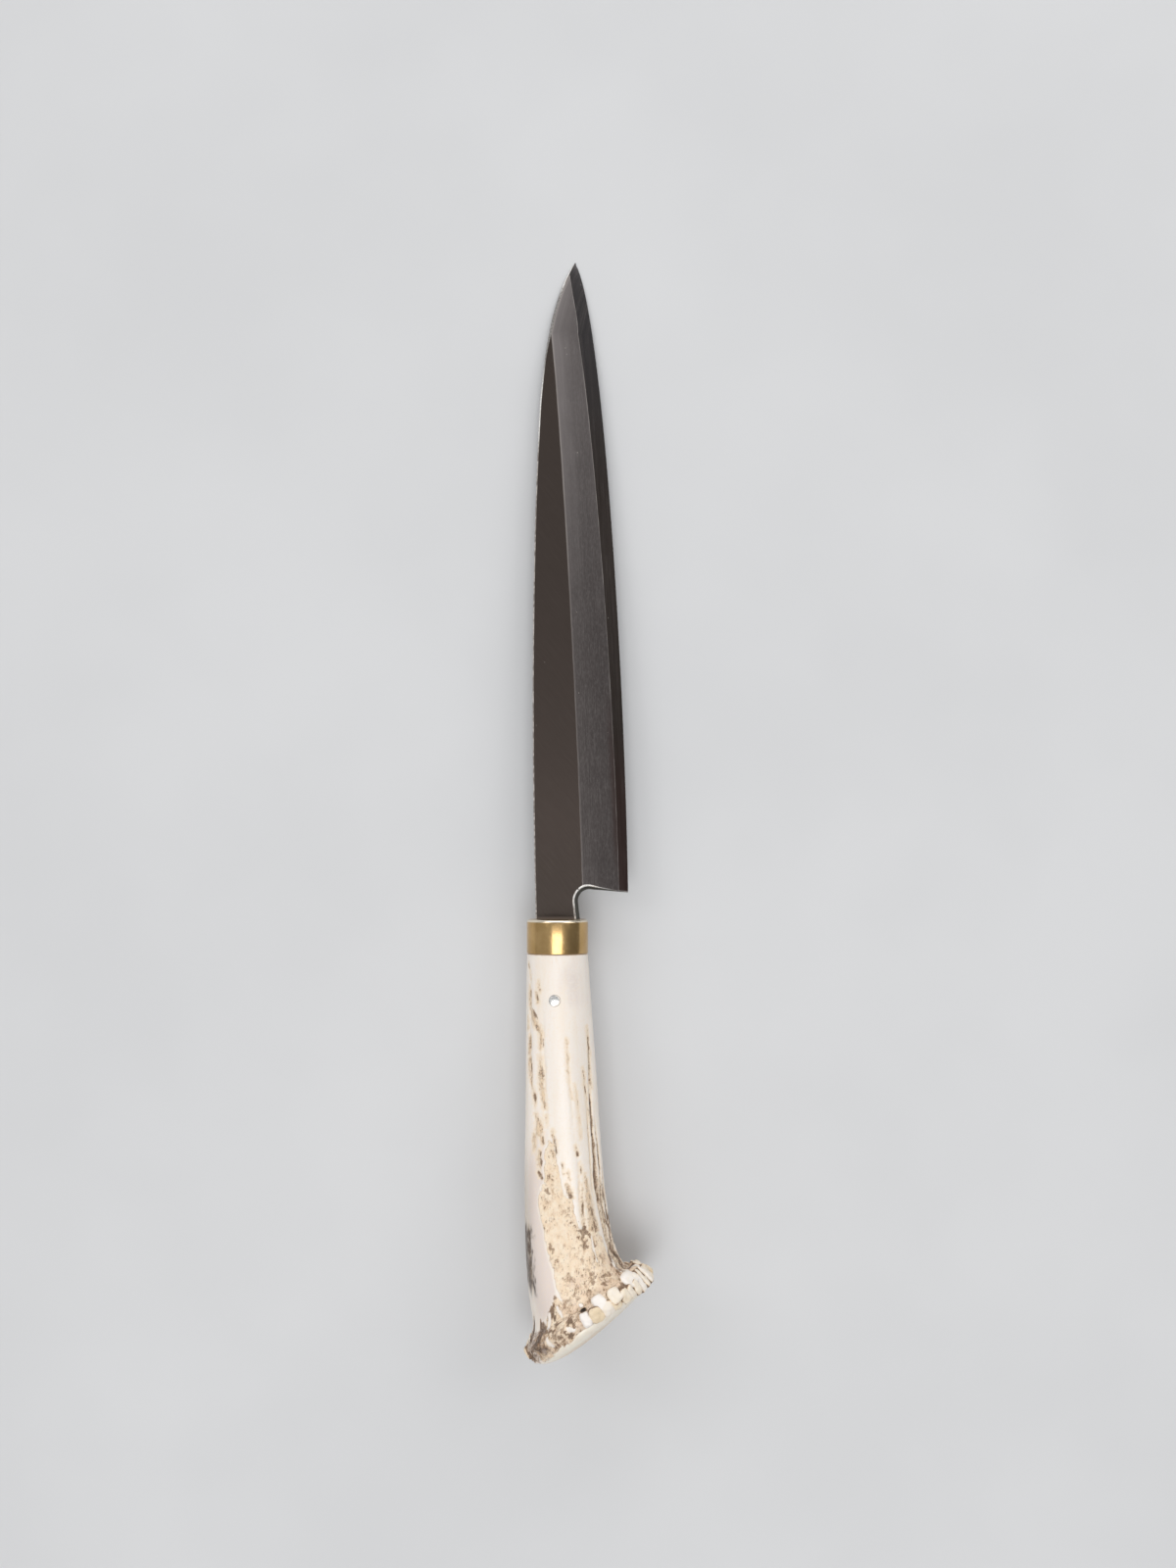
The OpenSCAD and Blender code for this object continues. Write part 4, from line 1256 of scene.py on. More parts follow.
def bevel_colour(tree, fine, along, to_tip):
    """The bevel: lighter by the ridge and to the tip, streaked, and brown beside the weld."""
    near_ridge = step(tree, noted(tree, "across"), 0.55, 0.0)
    low = blend(tree, to_tip, LOW_BEVEL, LOW_AT_TIP)
    high = blend(tree, to_tip, HIGH_BEVEL, HIGH_AT_TIP)
    ground = blend(tree, near_ridge, low, high)
    coarse = length_streaks(tree, 0.7, 0.03)
    satin = grain(tree, drawing_mm(tree, (2.2, 0.7, 2.2)), 1.0, 5.0, 0.7)
    ground = blend(tree, step(tree, coarse, 0.3, 0.72, 0.0, 0.3), ground, BEVEL_SHADE)
    ground = blend(tree, step(tree, fine, 0.45, 0.8, 0.0, 0.22), ground, BEVEL_LINE)
    ground = blend(tree, step(tree, satin, 0.4, 0.75, 0.0, 0.25), ground, BEVEL_SATIN)
    beside_weld = step(tree, noted(tree, "over_weld"), 0.5, 0.05)
    near_heel = times(tree, step(tree, along, 10, 26), step(tree, along, 74, 45))
    return blend(tree, times(tree, beside_weld, near_heel, 0.7), ground, PATINA)


def iron_finish():
    made, tree, surface = material("forged_iron")
    place = drawing_mm(tree)
    along, bevel_mm = noted(tree, "along"), noted(tree, "bevel_mm")
    to_tip = step(tree, along, 70, 190)
    turned_back = add(tree, "ShaderNodeMapping", {"Vector": place, "Rotation": (0, 0, LINES_TURN)})
    lines = add(tree, "ShaderNodeMapping", {"Vector": turned_back.outputs[0], "Scale": (6.0, 0.1, 0.1)})
    diagonal = grain(tree, lines.outputs[0], 1.0, 4.0, 0.7)
    cloud = grain(tree, place, 0.09, 2.0)
    fine = length_streaks(tree, 3.2, 0.12)

    on_bevel = step(tree, bevel_mm, -0.1, 0.1)
    flat = flat_colour(tree, diagonal, cloud, along, to_tip)
    colour = blend(tree, on_bevel, flat, bevel_colour(tree, fine, along, to_tip))
    ridge = times(tree, step(tree, bevel_mm, -0.16, 0.0), step(tree, bevel_mm, 0.6, 0.05),
                  step(tree, along, 70, 140, 0.4, 1.0), step(tree, fine, 0.3, 0.7, 0.3, 0.85))
    colour = blend(tree, ridge, colour, RIDGE_LIGHT)
    weld_line = step(tree, noted(tree, "over_weld"), 0.035, 0.012)
    weld_line = times(tree, weld_line, step(tree, fine, 0.35, 0.65, 0.2, 0.8))
    colour = blend(tree, weld_line, colour, WELD_LIGHT)
    colour = blend(tree, specks(tree, place, 3.2, 0.35), colour, SPECK)
    rough = step(tree, on_bevel, 0.0, 1.0, 0.3, 0.36)
    rough = calc(tree, "ADD", rough, step(tree, cloud, 0.3, 0.7, 0.0, 0.05))
    scratched = blend(tree, on_bevel, diagonal, fine)
    wire(tree, surface, colour=colour, roughness=rough, normal=bump(tree, scratched, 0.00002, 0.35))
    surface.inputs["Metallic"].default_value = 1.0
    return made


FORGED_IRON = iron_finish()
print("iron:", len(FORGED_IRON.node_tree.nodes), "nodes")

# %% [markdown]
# Where hands and stones have rubbed a corner, the dark skin is gone and bare iron shows: along the
# spine and round the rim of the notch. Its bright colour is also a painted highlight, brightest where
# the spine drops to the tip and on the notch rim. The wall of the notch is painted dark, a painted dark
# reflection.

# %% Rubbed corners with a painted highlight, and the painted dark wall of the notch
WEAR_AND_HIGHLIGHT_DULL, WEAR_AND_HIGHLIGHT_BRIGHT, DIMMER_HIGHLIGHT = (0.24, 0.21, 0.19), (0.55, 0.51, 0.475), (0.11, 0.10, 0.095)
STRONG_HIGHLIGHT_DULL, STRONG_HIGHLIGHT_BRIGHT = (0.8, 0.76, 0.71), (0.97, 0.95, 0.92)


def corner_highlight_finish():
    made, tree, surface = material("corner_wear_and_highlight")
    place = drawing_mm(tree)
    broken = grain(tree, drawing_mm(tree, (0.4, 0.7, 0.4)), 1.0, 4.0, 0.65)
    along = noted(tree, "along")
    in_notch = times(tree, step(tree, noted(tree, "bevel_mm"), -7.0, -6.0),
                     step(tree, along, 2.0, 7.5, 0.25, 1.0))
    # Strongest painted highlight at the tip and on the notch rim.
    polished = calc(tree, "MAXIMUM", step(tree, along, 189, 196), in_notch)
    dimmer_highlight = times(tree, step(tree, along, 158, 172), step(tree, along, 196, 188))
    dull = blend(tree, polished, WEAR_AND_HIGHLIGHT_DULL, STRONG_HIGHLIGHT_DULL)
    bright = blend(tree, polished, WEAR_AND_HIGHLIGHT_BRIGHT, STRONG_HIGHLIGHT_BRIGHT)
    colour = blend(tree, step(tree, broken, 0.4, 0.62), dull, bright)
    colour = blend(tree, times(tree, dimmer_highlight, 0.8), colour, DIMMER_HIGHLIGHT)
    wire(tree, surface, colour=colour, roughness=step(tree, grain(tree, place, 1.5), 0.3, 0.7, 0.2, 0.36))
    surface.inputs["Metallic"].default_value = 0.4
    return made


def wall_finish():
    # The wall's near-black colour is a painted dark reflection.
    made, tree, surface = material("notch_wall_dark_reflection")
    marks = grain(tree, drawing_mm(tree, (2.0, 2.0, 9.0)), 1.0, 3.0)
    colour = blend(tree, step(tree, marks, 0.3, 0.7), (0.03, 0.028, 0.02), (0.085, 0.078, 0.06))
    wire(tree, surface, colour=colour, roughness=step(tree, marks, 0.3, 0.7, 0.42, 0.6),
         normal=bump(tree, marks, 0.00005, 0.5))
    surface.inputs["Metallic"].default_value = 0.7
    return made


# Corners carry wear and a painted highlight; the notch wall carries a painted dark reflection.
CORNER_WEAR_AND_HIGHLIGHT, NOTCH_WALL_DARK_REFLECTION = corner_highlight_finish(), wall_finish()
print("rubbed corner and forge-dark wall ready")

# %% [markdown]
# The hard layer shows as a strip along the edge. It is darker and smoother than the iron, brown
# near the heel and greyer to the tip. The back has a bright ground rim, and its hollow keeps the
# coarser marks of the wheel. The pin's ends are filed and polished.

# %% Hard steel, back and pin
STEEL_DARK, STEEL_AT_HEEL = (0.048, 0.039, 0.034), (0.064, 0.046, 0.042)
STEEL_BROWN, STEEL_AT_TIP = (0.062, 0.036, 0.033), (0.066, 0.062, 0.064)


def hard_steel_finish():
    made, tree, surface = material("polished_edge_steel")
    along = noted(tree, "along")
    fine, coarse = length_streaks(tree, 5.0), length_streaks(tree, 0.8, 0.015)
    colour = blend(tree, step(tree, along, 26, 8), STEEL_DARK, STEEL_AT_HEEL)
    colour = blend(tree, step(tree, along, 62, 34, 0.0, 0.6), colour, STEEL_BROWN)
    colour = blend(tree, step(tree, along, 120, 185), colour, STEEL_AT_TIP)
    colour = blend(tree, step(tree, coarse, 0.35, 0.7, 0.0, 0.3), colour, (0.085, 0.073, 0.07))
    colour = blend(tree, step(tree, fine, 0.5, 0.8, 0.0, 0.3), colour, (0.22, 0.2, 0.19))
    colour = blend(tree, specks(tree, drawing_mm(tree), 4.0, 0.3), colour, (0.4, 0.37, 0.35))
    wire(tree, surface, colour=colour, roughness=step(tree, coarse, 0.3, 0.7, 0.2, 0.3),
         normal=bump(tree, fine, 0.00001, 0.25))
    surface.inputs["Metallic"].default_value = 1.0
    return made


def back_finish():
    made, tree, surface = material("ground_back")
    hollow_part = step(tree, noted(tree, "over_back"), 0.004, 0.03)
    marks = grain(tree, drawing_mm(tree, (3.5, 0.08, 1.0)), 1.0, 4.0, 0.65)
    wheel = grain(tree, drawing_mm(tree, (0.35, 1.6, 1.0)), 1.0, 3.0)
    rim = blend(tree, step(tree, marks, 0.35, 0.7), (0.26, 0.245, 0.235), (0.42, 0.4, 0.385))
    dish = blend(tree, step(tree, wheel, 0.3, 0.7), (0.15, 0.14, 0.135), (0.24, 0.225, 0.215))
    wire(tree, surface, colour=blend(tree, hollow_part, rim, dish),
         roughness=step(tree, hollow_part, 0.0, 1.0, 0.22, 0.38), normal=bump(tree, marks, 0.00002, 0.3))
    surface.inputs["Metallic"].default_value = 1.0
    return made


def pin_finish():
    made, tree, surface = material("polished_pin_steel")
    swirl = grain(tree, drawing_mm(tree), 3.0, 3.0)
    colour = blend(tree, step(tree, swirl, 0.3, 0.7), (0.70, 0.70, 0.69), (0.86, 0.86, 0.85))
    wire(tree, surface, colour=colour, roughness=step(tree, swirl, 0.3, 0.7, 0.2, 0.3))
    surface.inputs["Metallic"].default_value = 1.0
    return made


EDGE_STEEL, GROUND_BACK, PIN_STEEL = hard_steel_finish(), back_finish(), pin_finish()
print("hard steel, back and pin ready")

# %% [markdown]
# Brass from a lathe has fine lines around it and a warm tone that is a little browner where hands
# have left it. The lines run round the axis, so the noise is stretched around the ring: it is fed
# by the distance along the axis and hardly by anything else.

# %% Brass
def brass_finish():
    made, tree, surface = material("satin_brass")
    lathe_lines = grain(tree, drawing_mm(tree, (0.05, 9.0, 0.05)), 1.0, 3.0, 0.6)
    dapple = grain(tree, drawing_mm(tree), 1.6, 4.0, 0.6)
    tarnish = grain(tree, drawing_mm(tree), 0.18, 2.0)
    colour = blend(tree, step(tree, tarnish, 0.35, 0.7), (0.60, 0.405, 0.185), (0.50, 0.325, 0.135))
    colour = blend(tree, step(tree, dapple, 0.5, 0.8, 0.0, 0.3), colour, (0.70, 0.52, 0.28))
    colour = blend(tree, step(tree, lathe_lines, 0.3, 0.7, 0.0, 0.12), colour, (0.42, 0.26, 0.09))
    y = add(tree, "ShaderNodeSeparateXYZ", {"Vector": drawing_mm(tree)}).outputs["Y"]
    # A painted highlight: a pale band on the rounded lip at the ferrule's front.
    lip_highlight = times(tree, step(tree, y, -0.95, -0.6), step(tree, y, -0.02, -0.12))
    colour = blend(tree, times(tree, lip_highlight, 0.85), colour, (0.95, 0.88, 0.74))
    wire(tree, surface, colour=colour, roughness=step(tree, dapple, 0.3, 0.7, 0.17, 0.27),
         normal=bump(tree, lathe_lines, 0.00001, 0.25))
    surface.inputs["Metallic"].default_value = 1.0
    return made


BRASS = brass_finish()
print("brass ready")

# %% [markdown]
# Antler is ivory where it is polished and sandy and porous where the bark is left. The map's notes
# say where, and shader noise sharpens their borders below the size of a mesh face and adds what is
# too fine for the mesh: pores, freckles and the faint grain. The pearls share its colours.

# %% Colours of the antler, and its bark
IVORY, WARM_IVORY = (0.86, 0.795, 0.73), (0.85, 0.765, 0.67)
BUTT_CREAM, OLD_CREAM = (0.90, 0.84, 0.73), (0.84, 0.745, 0.61)
TAN, SAND, PALE_SAND = (0.76, 0.57, 0.38), (0.86, 0.69, 0.505), (0.90, 0.765, 0.60)
ROSY_DUN, DUN, LILAC_GREY = (0.76, 0.575, 0.44), (0.56, 0.385, 0.25), (0.50, 0.39, 0.35)
FOX_BROWN, BROWN, UMBER = (0.68, 0.49, 0.33), (0.33, 0.215, 0.135), (0.17, 0.105, 0.065)
DARKEST_STAIN_AND_SHADE, SMUDGE_AND_SHADE_BROWN, FRINGE = (0.05, 0.034, 0.024), (0.105, 0.071, 0.049), (0.84, 0.70, 0.54)
LILAC_TINT, BLUSH, JOINT_BROWN = (0.72, 0.62, 0.57), (0.66, 0.57, 0.53), (0.42, 0.28, 0.16)
CRUST_GREY, RUST, PIN_SHADOW = (0.34, 0.28, 0.255), (0.45, 0.26, 0.15), (0.10, 0.075, 0.055)


def centred(tree, value, reach):
    """Noise around 0, `reach` to either side."""
    return times(tree, calc(tree, "SUBTRACT", value, 0.5), 2 * reach)


def bark_colour(tree, place, crowding):
    """Sandy bark with freckles. Crowding, from 0 to 1, gathers them and makes the sand browner."""
    long_place = drawing_mm(tree, (1.0, 0.6, 1.0))
    cloud = grain(tree, place, 0.25, 4.0, 0.6)
    worn = calc(tree, "ADD", noted(tree, "grime"), centred(tree, cloud, 1.0))
    colour = blend(tree, step(tree, grain(tree, long_place, 0.6, 5.0, 0.65), 0.38, 0.62), PALE_SAND, SAND)
    colour = blend(tree, times(tree, crowding, 0.8), colour, TAN)
    colour = blend(tree, step(tree, worn, 0.2, 1.0, 0.0, 0.75), colour, ROSY_DUN)
    colour = blend(tree, step(tree, worn, 0.75, 1.3, 0.0, 0.7), colour, DUN)
    lilac_spots = step(tree, grain(tree, place, 0.5, 5.0, 0.7), 0.56, 0.68)
    lilac_spots = times(tree, lilac_spots, step(tree, worn, 0.0, 0.8, 0.05, 0.6))
    colour = blend(tree, lilac_spots, colour, LILAC_GREY)
    density = calc(tree, "ADD", times(tree, worn, 0.07), times(tree, crowding, 0.075))
    density = calc(tree, "ADD", density, centred(tree, grain(tree, long_place, 0.33, 3.0, 0.6), 0.22))
    blotch = calc(tree, "ADD", grain(tree, long_place, 0.8, 5.0, 0.72), density)
    colour = blend(tree, step(tree, blotch, 0.50, 0.64, 0.0, 0.6), colour, FOX_BROWN)
    colour = blend(tree, step(tree, blotch, 0.60, 0.72, 0.0, 0.65), colour, BROWN)
    freckle = calc(tree, "ADD", grain(tree, long_place, 2.1, 3.0, 0.6), density)
    pores = step(tree, freckle, 0.61, 0.69)
    colour = blend(tree, times(tree, pores, 0.65), colour, BROWN)
    deep = step(tree, calc(tree, "ADD", blotch, times(tree, pores, 0.06)), 0.67, 0.76, 0.0, 0.85)
    return blend(tree, deep, colour, UMBER), pores


print("antler from", BUTT_CREAM, "to", DARKEST_STAIN_AND_SHADE)

# %% [markdown]
# The antler's finish is laid like glazes, from the lightest to the darkest: ivory with its faint
# tints, the cream of the sawn face, the fringe and the inside of the bark, stain with its painted shade,
# crust, the dark patch and painted shade along the left outline, and a thin painted shadow in the gap round
# the pin. Only the height of bark and pores is left to bump.

# %% Parts of the antler's finish
def sawn_colour(tree, place, mist, core, sponge):
    """The sawn face: clouded cream, tan in its core, where the pores of the sponge are open."""
    clouds = step(tree, grain(tree, place, 0.22, 4.0, 0.6), 0.4, 0.7, 0.0, 0.6)
    sawn = blend(tree, clouds, BUTT_CREAM, OLD_CREAM)
    sawn = blend(tree, step(tree, grain(tree, place, 1.1, 5.0, 0.7), 0.54, 0.72, 0.0, 0.35), sawn, TAN)
    sawn = blend(tree, times(tree, core, step(tree, mist, 0.35, 0.65, 0.25, 0.7)), sawn, TAN)
    return blend(tree, times(tree, sponge, 0.55), sawn, DUN)


def ivory_colour(tree, mist):
    """Polished antler: faint long streaks, a lilac tint on the ridge and a blush by the ferrule."""
    long_place = drawing_mm(tree, (1.0, 0.12, 1.0))
    ivory = blend(tree, step(tree, grain(tree, long_place, 0.35, 3.0), 0.4, 0.75), IVORY, WARM_IVORY)
    ivory = blend(tree, step(tree, grain(tree, long_place, 1.7, 4.0), 0.56, 0.8, 0.0, 0.2), ivory, TAN)
    ivory = blend(tree, times(tree, noted(tree, "lilac"), 0.8), ivory, LILAC_TINT)
    rosy = times(tree, noted(tree, "blush"), step(tree, mist, 0.3, 0.6, 0.2, 0.5))
    return blend(tree, rosy, ivory, BLUSH)


def pin_ring_shadow(tree, place):
    """1 in the hair-wide gap round the pin, where a thin ring of painted shadow lies."""
    flat_place = add(tree, "ShaderNodeMapping", {"Vector": place, "Location": (-PIN_AT[0], -PIN_AT[1], 0),
                                                 "Scale": (1, 1, 0)})
    away = add(tree, "ShaderNodeVectorMath", {0: flat_place.outputs[0]}, operation="LENGTH")
    away = away.outputs["Value"]
    return times(tree, step(tree, away, 1.55, 1.62), step(tree, away, 1.78, 1.66))


def roughened(tree, name, place, reach, scale=1.6):
    """A note with fine noise added, so its border is ragged below the size of a mesh face."""
    return calc(tree, "ADD", noted(tree, name), centred(tree, grain(tree, place, scale, 5.0, 0.68), reach))


print("parts ready: sawn face, ivory, gap round the pin")

# %% Antler
def antler_finish():
    made, tree, surface = material("stag_antler")
    place = drawing_mm(tree)
    mist = grain(tree, place, 1.3, 5.0, 0.7)
    core, lobe = noted(tree, "core"), noted(tree, "lobe")
    sponge = times(tree, core, step(tree, grain(tree, place, 1.9, 3.0, 0.6), 0.55, 0.66))
    clean = blend(tree, noted(tree, "butt"), ivory_colour(tree, mist),
                  sawn_colour(tree, place, mist, core, sponge))

    barked = roughened(tree, "bark", place, 0.5, 1.4)
    open_bed = noted(tree, "in_bed")
    lone = calc(tree, "SUBTRACT", 1.0, open_bed)
    crowding = times(tree, calc(tree, "SUBTRACT", 1.0, step(tree, barked, 0.6, 1.0)), lone)
    bark_tone, pore = bark_colour(tree, place, crowding)
    fringe = times(tree, step(tree, barked, -0.05, 0.45), step(tree, open_bed, 0.0, 1.0, 0.85, 0.15))
    colour = blend(tree, fringe, clean, FRINGE)
    inside = step(tree, barked, 0.4, 0.75)
    colour = blend(tree, inside, colour, bark_tone)

    # This note holds real stain and also painted shade: on the edge's flank, in the crook, between the
    # pearls and in the pit.
    ragged_stain_and_shade = roughened(tree, "stain_and_shade", place, 0.6, 1.9)
    colour = blend(tree, step(tree, ragged_stain_and_shade, 0.22, 0.6, 0.0, 0.75), colour, BROWN)
    colour = blend(tree, step(tree, ragged_stain_and_shade, 0.5, 0.9, 0.0, 0.8), colour, UMBER)
    colour = blend(tree, step(tree, ragged_stain_and_shade, 0.9, 1.15, 0.0, 0.95), colour, DARKEST_STAIN_AND_SHADE)
    crust = grain(tree, place, 0.8, 5.0, 0.7)
    colour = blend(tree, times(tree, lobe, step(tree, crust, 0.5, 0.62, 0.0, 0.75)), colour, CRUST_GREY)
    colour = blend(tree, times(tree, lobe, step(tree, crust, 0.42, 0.34, 0.0, 0.7)), colour, RUST)
    # Dark patch and painted shade along the handle's left outline.
    smudge_and_shade_noisy = times(tree, noted(tree, "smudge_and_outline_shade"), step(tree, mist, 0.3, 0.6, 0.85, 1.0))
    colour = blend(tree, smudge_and_shade_noisy, colour, SMUDGE_AND_SHADE_BROWN)
    colour = blend(tree, times(tree, noted(tree, "joint_line"), 0.6), colour, JOINT_BROWN)
    colour = blend(tree, times(tree, pin_ring_shadow(tree, place), 0.8), colour, PIN_SHADOW)

    rough_bark = step(tree, barked, 0.3, 0.8, 0.36, 0.7)
    roughness = calc(tree, "MAXIMUM", rough_bark, step(tree, ragged_stain_and_shade, 0.3, 0.7, 0.36, 0.7))
    ridges = times(tree, grain(tree, drawing_mm(tree, (1, 0.6, 1)), 1.5, 6.0, 0.68), inside)
    height = calc(tree, "SUBTRACT", ridges, times(tree, pore, inside, 0.35))
    height = calc(tree, "SUBTRACT", height, times(tree, sponge, 0.2))
    wire(tree, surface, colour=colour, roughness=roughness, normal=bump(tree, height, 0.0005, 0.7))
    surface.inputs["Subsurface Weight"].default_value = 0.06
    surface.inputs["Subsurface Radius"].default_value = (0.002, 0.0014, 0.001)
    surface.inputs["Subsurface Scale"].default_value = 1.0
    return made


ANTLER = antler_finish()
print("antler:", len(ANTLER.node_tree.nodes), "nodes")

# %% [markdown]
# A pearl is polished on its crown, and bark begins on its flanks. The tree that set the pearls left
# two notes for this, `crown` for the height on a pearl and `tone` for its own hue, from white over
# yellow to brown. The resin that beds the tang is hidden, and has a plain clouded brown.

# %% Pearls and resin
PEARL_WHITE, PEARL_CREAM = (0.86, 0.805, 0.755), (0.84, 0.75, 0.625)
PEARL_YELLOW, PEARL_BROWN = (0.78, 0.635, 0.44), (0.235, 0.165, 0.125)


def pearl_finish():
    made, tree, surface = material("antler_pearl")
    place = drawing_mm(tree)
    tone, crown = noted(tree, "tone"), noted(tree, "crown")
    mixed = calc(tree, "ADD", tone, centred(tree, grain(tree, place, 0.4, 4.0, 0.6), 0.5))
    polished = blend(tree, step(tree, mixed, 0.0, 0.5), PEARL_WHITE, PEARL_CREAM)
    polished = blend(tree, step(tree, mixed, 0.5, 1.0), polished, PEARL_YELLOW)
    polished = blend(tree, step(tree, mixed, 1.15, 1.45, 0.0, 0.9), polished, PEARL_BROWN)
    low = calc(tree, "ADD", crown, centred(tree, grain(tree, place, 0.7, 5.0, 0.65), 0.35))
    low = calc(tree, "SUBTRACT", low, step(tree, tone, 0.1, 0.4, 0.0, 0.2))
    bark_tone, _ = bark_colour(tree, place, step(tree, low, 0.4, 0.1))
    colour = blend(tree, step(tree, low, 0.42, 0.3), polished, bark_tone)
    colour = blend(tree, step(tree, low, 0.3, 0.12, 0.0, 0.85), colour, UMBER)
    wire(tree, surface, colour=colour, roughness=step(tree, low, 0.2, 0.5, 0.7, 0.3),
         normal=bump(tree, grain(tree, place, 1.4, 5.0), 0.0003, 0.5))
    return made


def resin_finish():
    made, tree, surface = material("cutlers_resin")
    clouds = grain(tree, drawing_mm(tree), 0.8, 4.0)
    colour = blend(tree, step(tree, clouds, 0.3, 0.7), (0.045, 0.028, 0.015), (0.10, 0.062, 0.032))
    wire(tree, surface, colour=colour, roughness=step(tree, clouds, 0.3, 0.7, 0.4, 0.6))
    return made


PEARL, RESIN = pearl_finish(), resin_finish()
print("pearl:", len(PEARL.node_tree.nodes), "nodes; resin:", len(RESIN.node_tree.nodes), "nodes")

# %% [markdown]
# ## Dressing the frame
# Each piece is laid down, gets its finishes and rides on the knife's one body. On the blade the finish
# of each face follows from where it looks: facets at 45 degrees are rubbed and carry a painted highlight,
# the notch wall is painted dark as a painted dark reflection, and what looks down is back.

# %% Blade pieces
OWN_FINISH, CORNER_FACE, NOTCH_WALL, BACK_FACE = range(4)     # the blade's material slots
NOTCH_TO_Y, NOTCH_FROM_X = 12.5, 3.8


def blade_finish(face, is_steel):
    """The material slot of one face, by where it lies and where it looks."""
    n, c = face.normal, face.center
    in_notch = c.y < NOTCH_TO_Y and c.x > NOTCH_FROM_X and -0.9 < n.z < 0.96
    if n.z < -0.9 or (is_steel and n.z < -0.5):
        return BACK_FACE
    if c.y > SHOULDER and n.x < -0.35 and n.z > 0.3:
        return CORNER_FACE
    if in_notch and n.z > 0.45 and (n.x > 0.24 or n.y < -0.24):
        return CORNER_FACE
    return NOTCH_WALL if in_notch and n.z < 0.8 else OWN_FINISH


def dress_blade(obj, main, node):
    chosen = np.array([blade_finish(face, obj is steel) for face in obj.data.polygons], np.int32)
    finish_piece(obj, [main, CORNER_WEAR_AND_HIGHLIGHT, NOTCH_WALL_DARK_REFLECTION, GROUND_BACK], smooth_under=4)
    obj.data.polygons.foreach_set("material_index", chosen)
    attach(obj, "root")
    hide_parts(node)


dress_blade(iron, FORGED_IRON, "blade_iron")
dress_blade(steel, EDGE_STEEL, "edge_steel")

# %% Ferrule, handle, pearls, pin and resin
def set_pearls():
    nodes = pearls.modifiers.new("pearls", "NODES")
    nodes.node_group = pearl_group
    given = {"Unevenness in mm": 1.4, "Lump size in mm": 2.8, "Seed": 4, "Finish": PEARL}
    for name, value in given.items():
        nodes[pearl_inputs[name]] = value
    applied(pearls)


def dress(obj, finish, smooth_under=None, node=None):
    finish_piece(obj, [finish], smooth_under)
    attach(obj, "root")
    if node:
        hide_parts(node)


set_pearls()
dress(cap, BRASS, 25, "ferrule")
dress(antler, ANTLER, None, "antler_handle")
dress(pearls, PEARL)
dress(pin, PIN_STEEL, 40, "tang_pin")
resin = frame["nodes"]["tang_bedding"]
resin.data.materials.clear()
resin.data.materials.append(RESIN)


def keep_in_box(obj):
    """Moves the few points that noise pushed past the model's box back onto it."""
    p = points_of(obj.data)
    inside = np.clip(p, cad_box[0], cad_box[1])
    obj.data.vertices.foreach_set("co", inside.astype(np.float32).ravel())
    obj.data.update()
    print(obj.name, "moved in by", round(float(np.abs(p - inside).max() / MM), 2), "mm at most")


keep_in_box(antler)
keep_in_box(pearls)

# %% [markdown]
# ## Studio
# A pale floor and a grey world light everything almost evenly. A soft box over the handle draws the
# bright band on the brass, and a low wall of light past the tip makes the ferrule's shoulder shine. A
# smaller lamp high on the left gives the form its shade and lets the shadow fall to the right, and
# a weaker one on the right keeps that shade open.

# %% Floor and world
WORLD_LIGHT, WORLD_DIM = 0.5, 0.2


def floor_finish():
    made, tree, surface = material("pale_floor")
    place = tree.nodes.new("ShaderNodeTexCoord").outputs["Object"]
    cloud = grain(tree, place, 9.0, 3.0)
    colour = blend(tree, step(tree, cloud, 0.3, 0.7), (0.63, 0.635, 0.645), (0.66, 0.665, 0.675))
    wire(tree, surface, colour=colour)
    surface.inputs["Roughness"].default_value = 0.85
    surface.inputs["Specular IOR Level"].default_value = 0.1
    return made


def floor():
    size, z = 3.0, -0.0001     # a hair below the knife, so that the two never touch
    corners = [(-size, -size, z), (size, -size, z), (size, size, z), (-size, size, z)]
    mesh = bpy.data.meshes.new("floor")
    mesh.from_pydata(corners, [], [(0, 1, 2, 3)])
    mesh.materials.append(floor_finish())
    obj = bpy.data.objects.new("floor", mesh)
    bpy.context.scene.collection.objects.link(obj)


def soft_box(name, place, size, power, aim):
    """A lamp of the given width and length in metres, which looks at a point and isn't seen."""
    lamp = bpy.data.lights.new(name, "AREA")
    lamp.shape = "RECTANGLE"
    lamp.size, lamp.size_y = size
    lamp.energy = power
    obj = bpy.data.objects.new(name, lamp)
    obj.location = place
    direction = Vector(aim) - obj.location
    obj.rotation_euler = direction.to_track_quat("-Z", "Y").to_euler()
    obj.visible_camera = False
    bpy.context.scene.collection.objects.link(obj)


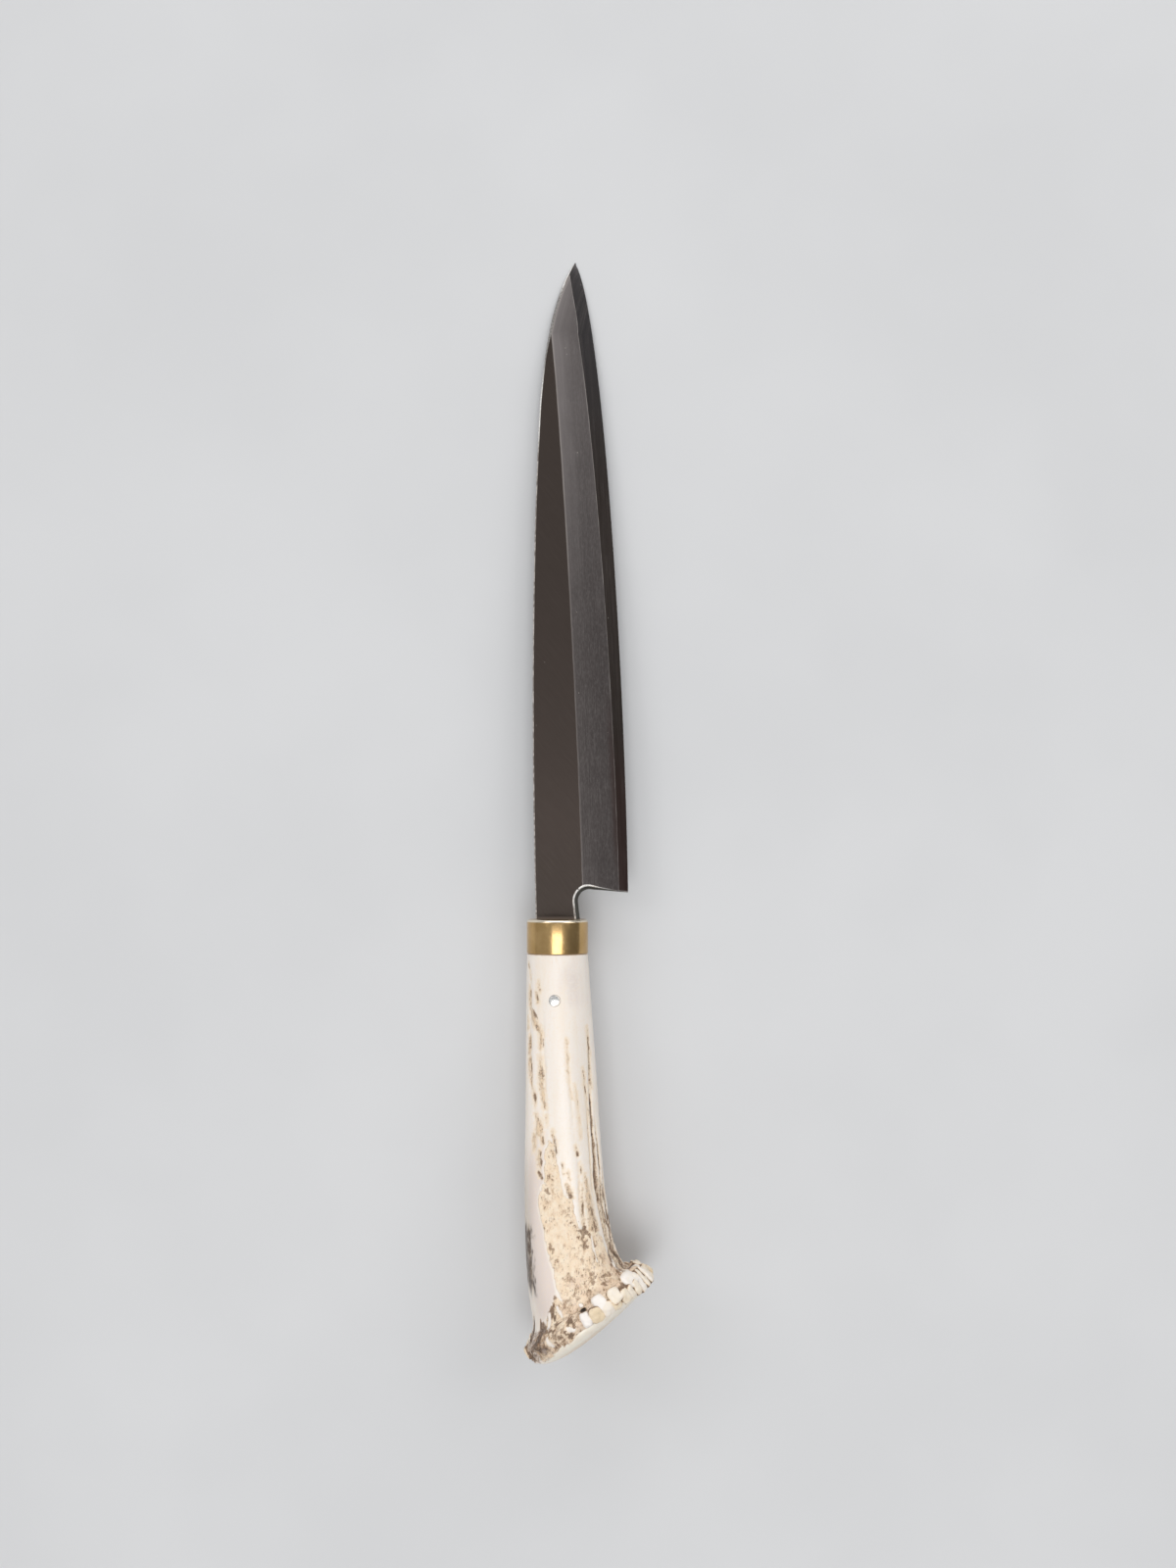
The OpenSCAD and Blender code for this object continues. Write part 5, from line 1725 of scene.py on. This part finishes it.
def studio_world():
    """An even grey room, dimmer on the edge's side, so that the brass has a dark flank."""
    room = bpy.data.worlds.new("studio")
    room.use_nodes = True
    tree = room.node_tree
    direction = tree.nodes.new("ShaderNodeTexCoord").outputs["Generated"]
    parts = add(tree, "ShaderNodeSeparateXYZ", {0: direction})
    dim = step(tree, parts.outputs[0], 0.3, 0.8, WORLD_LIGHT, WORLD_DIM)
    tree.links.new(dim, tree.nodes["Background"].inputs["Strength"])
    tree.nodes["Background"].inputs["Color"].default_value = (1.0, 1.0, 1.0, 1.0)
    bpy.context.scene.world = room


studio_world()
floor()
print("floor and world ready")

# %% Lamps
BOX_UP, LEFT_SPREAD, RIGHT_SPREAD = 0.9, 0.34, 0.33     # spreads per metre of height over the brass
brass_middle = origin + turn @ np.array([0, -FERRULE_LEN / 2, FERRULE_R]) * MM
rise = BOX_UP - brass_middle[2]
box_left, box_right = brass_middle[0] - rise * LEFT_SPREAD, brass_middle[0] + rise * RIGHT_SPREAD
box_near, box_far = -0.62, -0.10
box_middle = ((box_left + box_right) / 2, (box_near + box_far) / 2)
soft_box("box_over_handle", (*box_middle, BOX_UP), (box_right - box_left, box_far - box_near), 3.7,
         (*box_middle, 0))
soft_box("wall_past_tip", (0, 1.0, 0.42), (1.4, 0.75), 5.8, (0, 0, 0.1))
soft_box("key_from_left", (-0.75, 0.42, 0.8), (0.5, 0.5), 1.3, (0, 0, 0))
soft_box("fill_from_right", (0.85, 0.55, 0.7), (0.8, 0.8), 2.6, (0, 0, 0))
print("soft box from x", round(box_left, 2), "to", round(box_right, 2), "m")

# %% [markdown]
# The camera looks straight down from 450 mm above the floor. The view covers 360 by 480 mm there,
# which sets the lens, and the knife's place in it follows from the middle of the ferrule's face.

# %% Camera and view settings
CAMERA_UP, VIEW_HEIGHT, SENSOR = 0.45, 0.48, 36.0
RIGHT_OF_FERRULE, PAST_FERRULE = 9.05, 40.1     # mm, where the camera stands
camera_data = bpy.data.cameras.new("camera")
camera_data.sensor_width = SENSOR
camera_data.lens = SENSOR * CAMERA_UP / VIEW_HEIGHT
camera = bpy.data.objects.new("camera", camera_data)
camera.location = (origin[0] + RIGHT_OF_FERRULE * MM, origin[1] + PAST_FERRULE * MM, CAMERA_UP)
bpy.context.scene.collection.objects.link(camera)
bpy.context.scene.camera = camera
bpy.context.scene.view_settings.view_transform = "Standard"
print("camera over", [round(c / MM, 1) for c in camera.location[:2]], "mm")
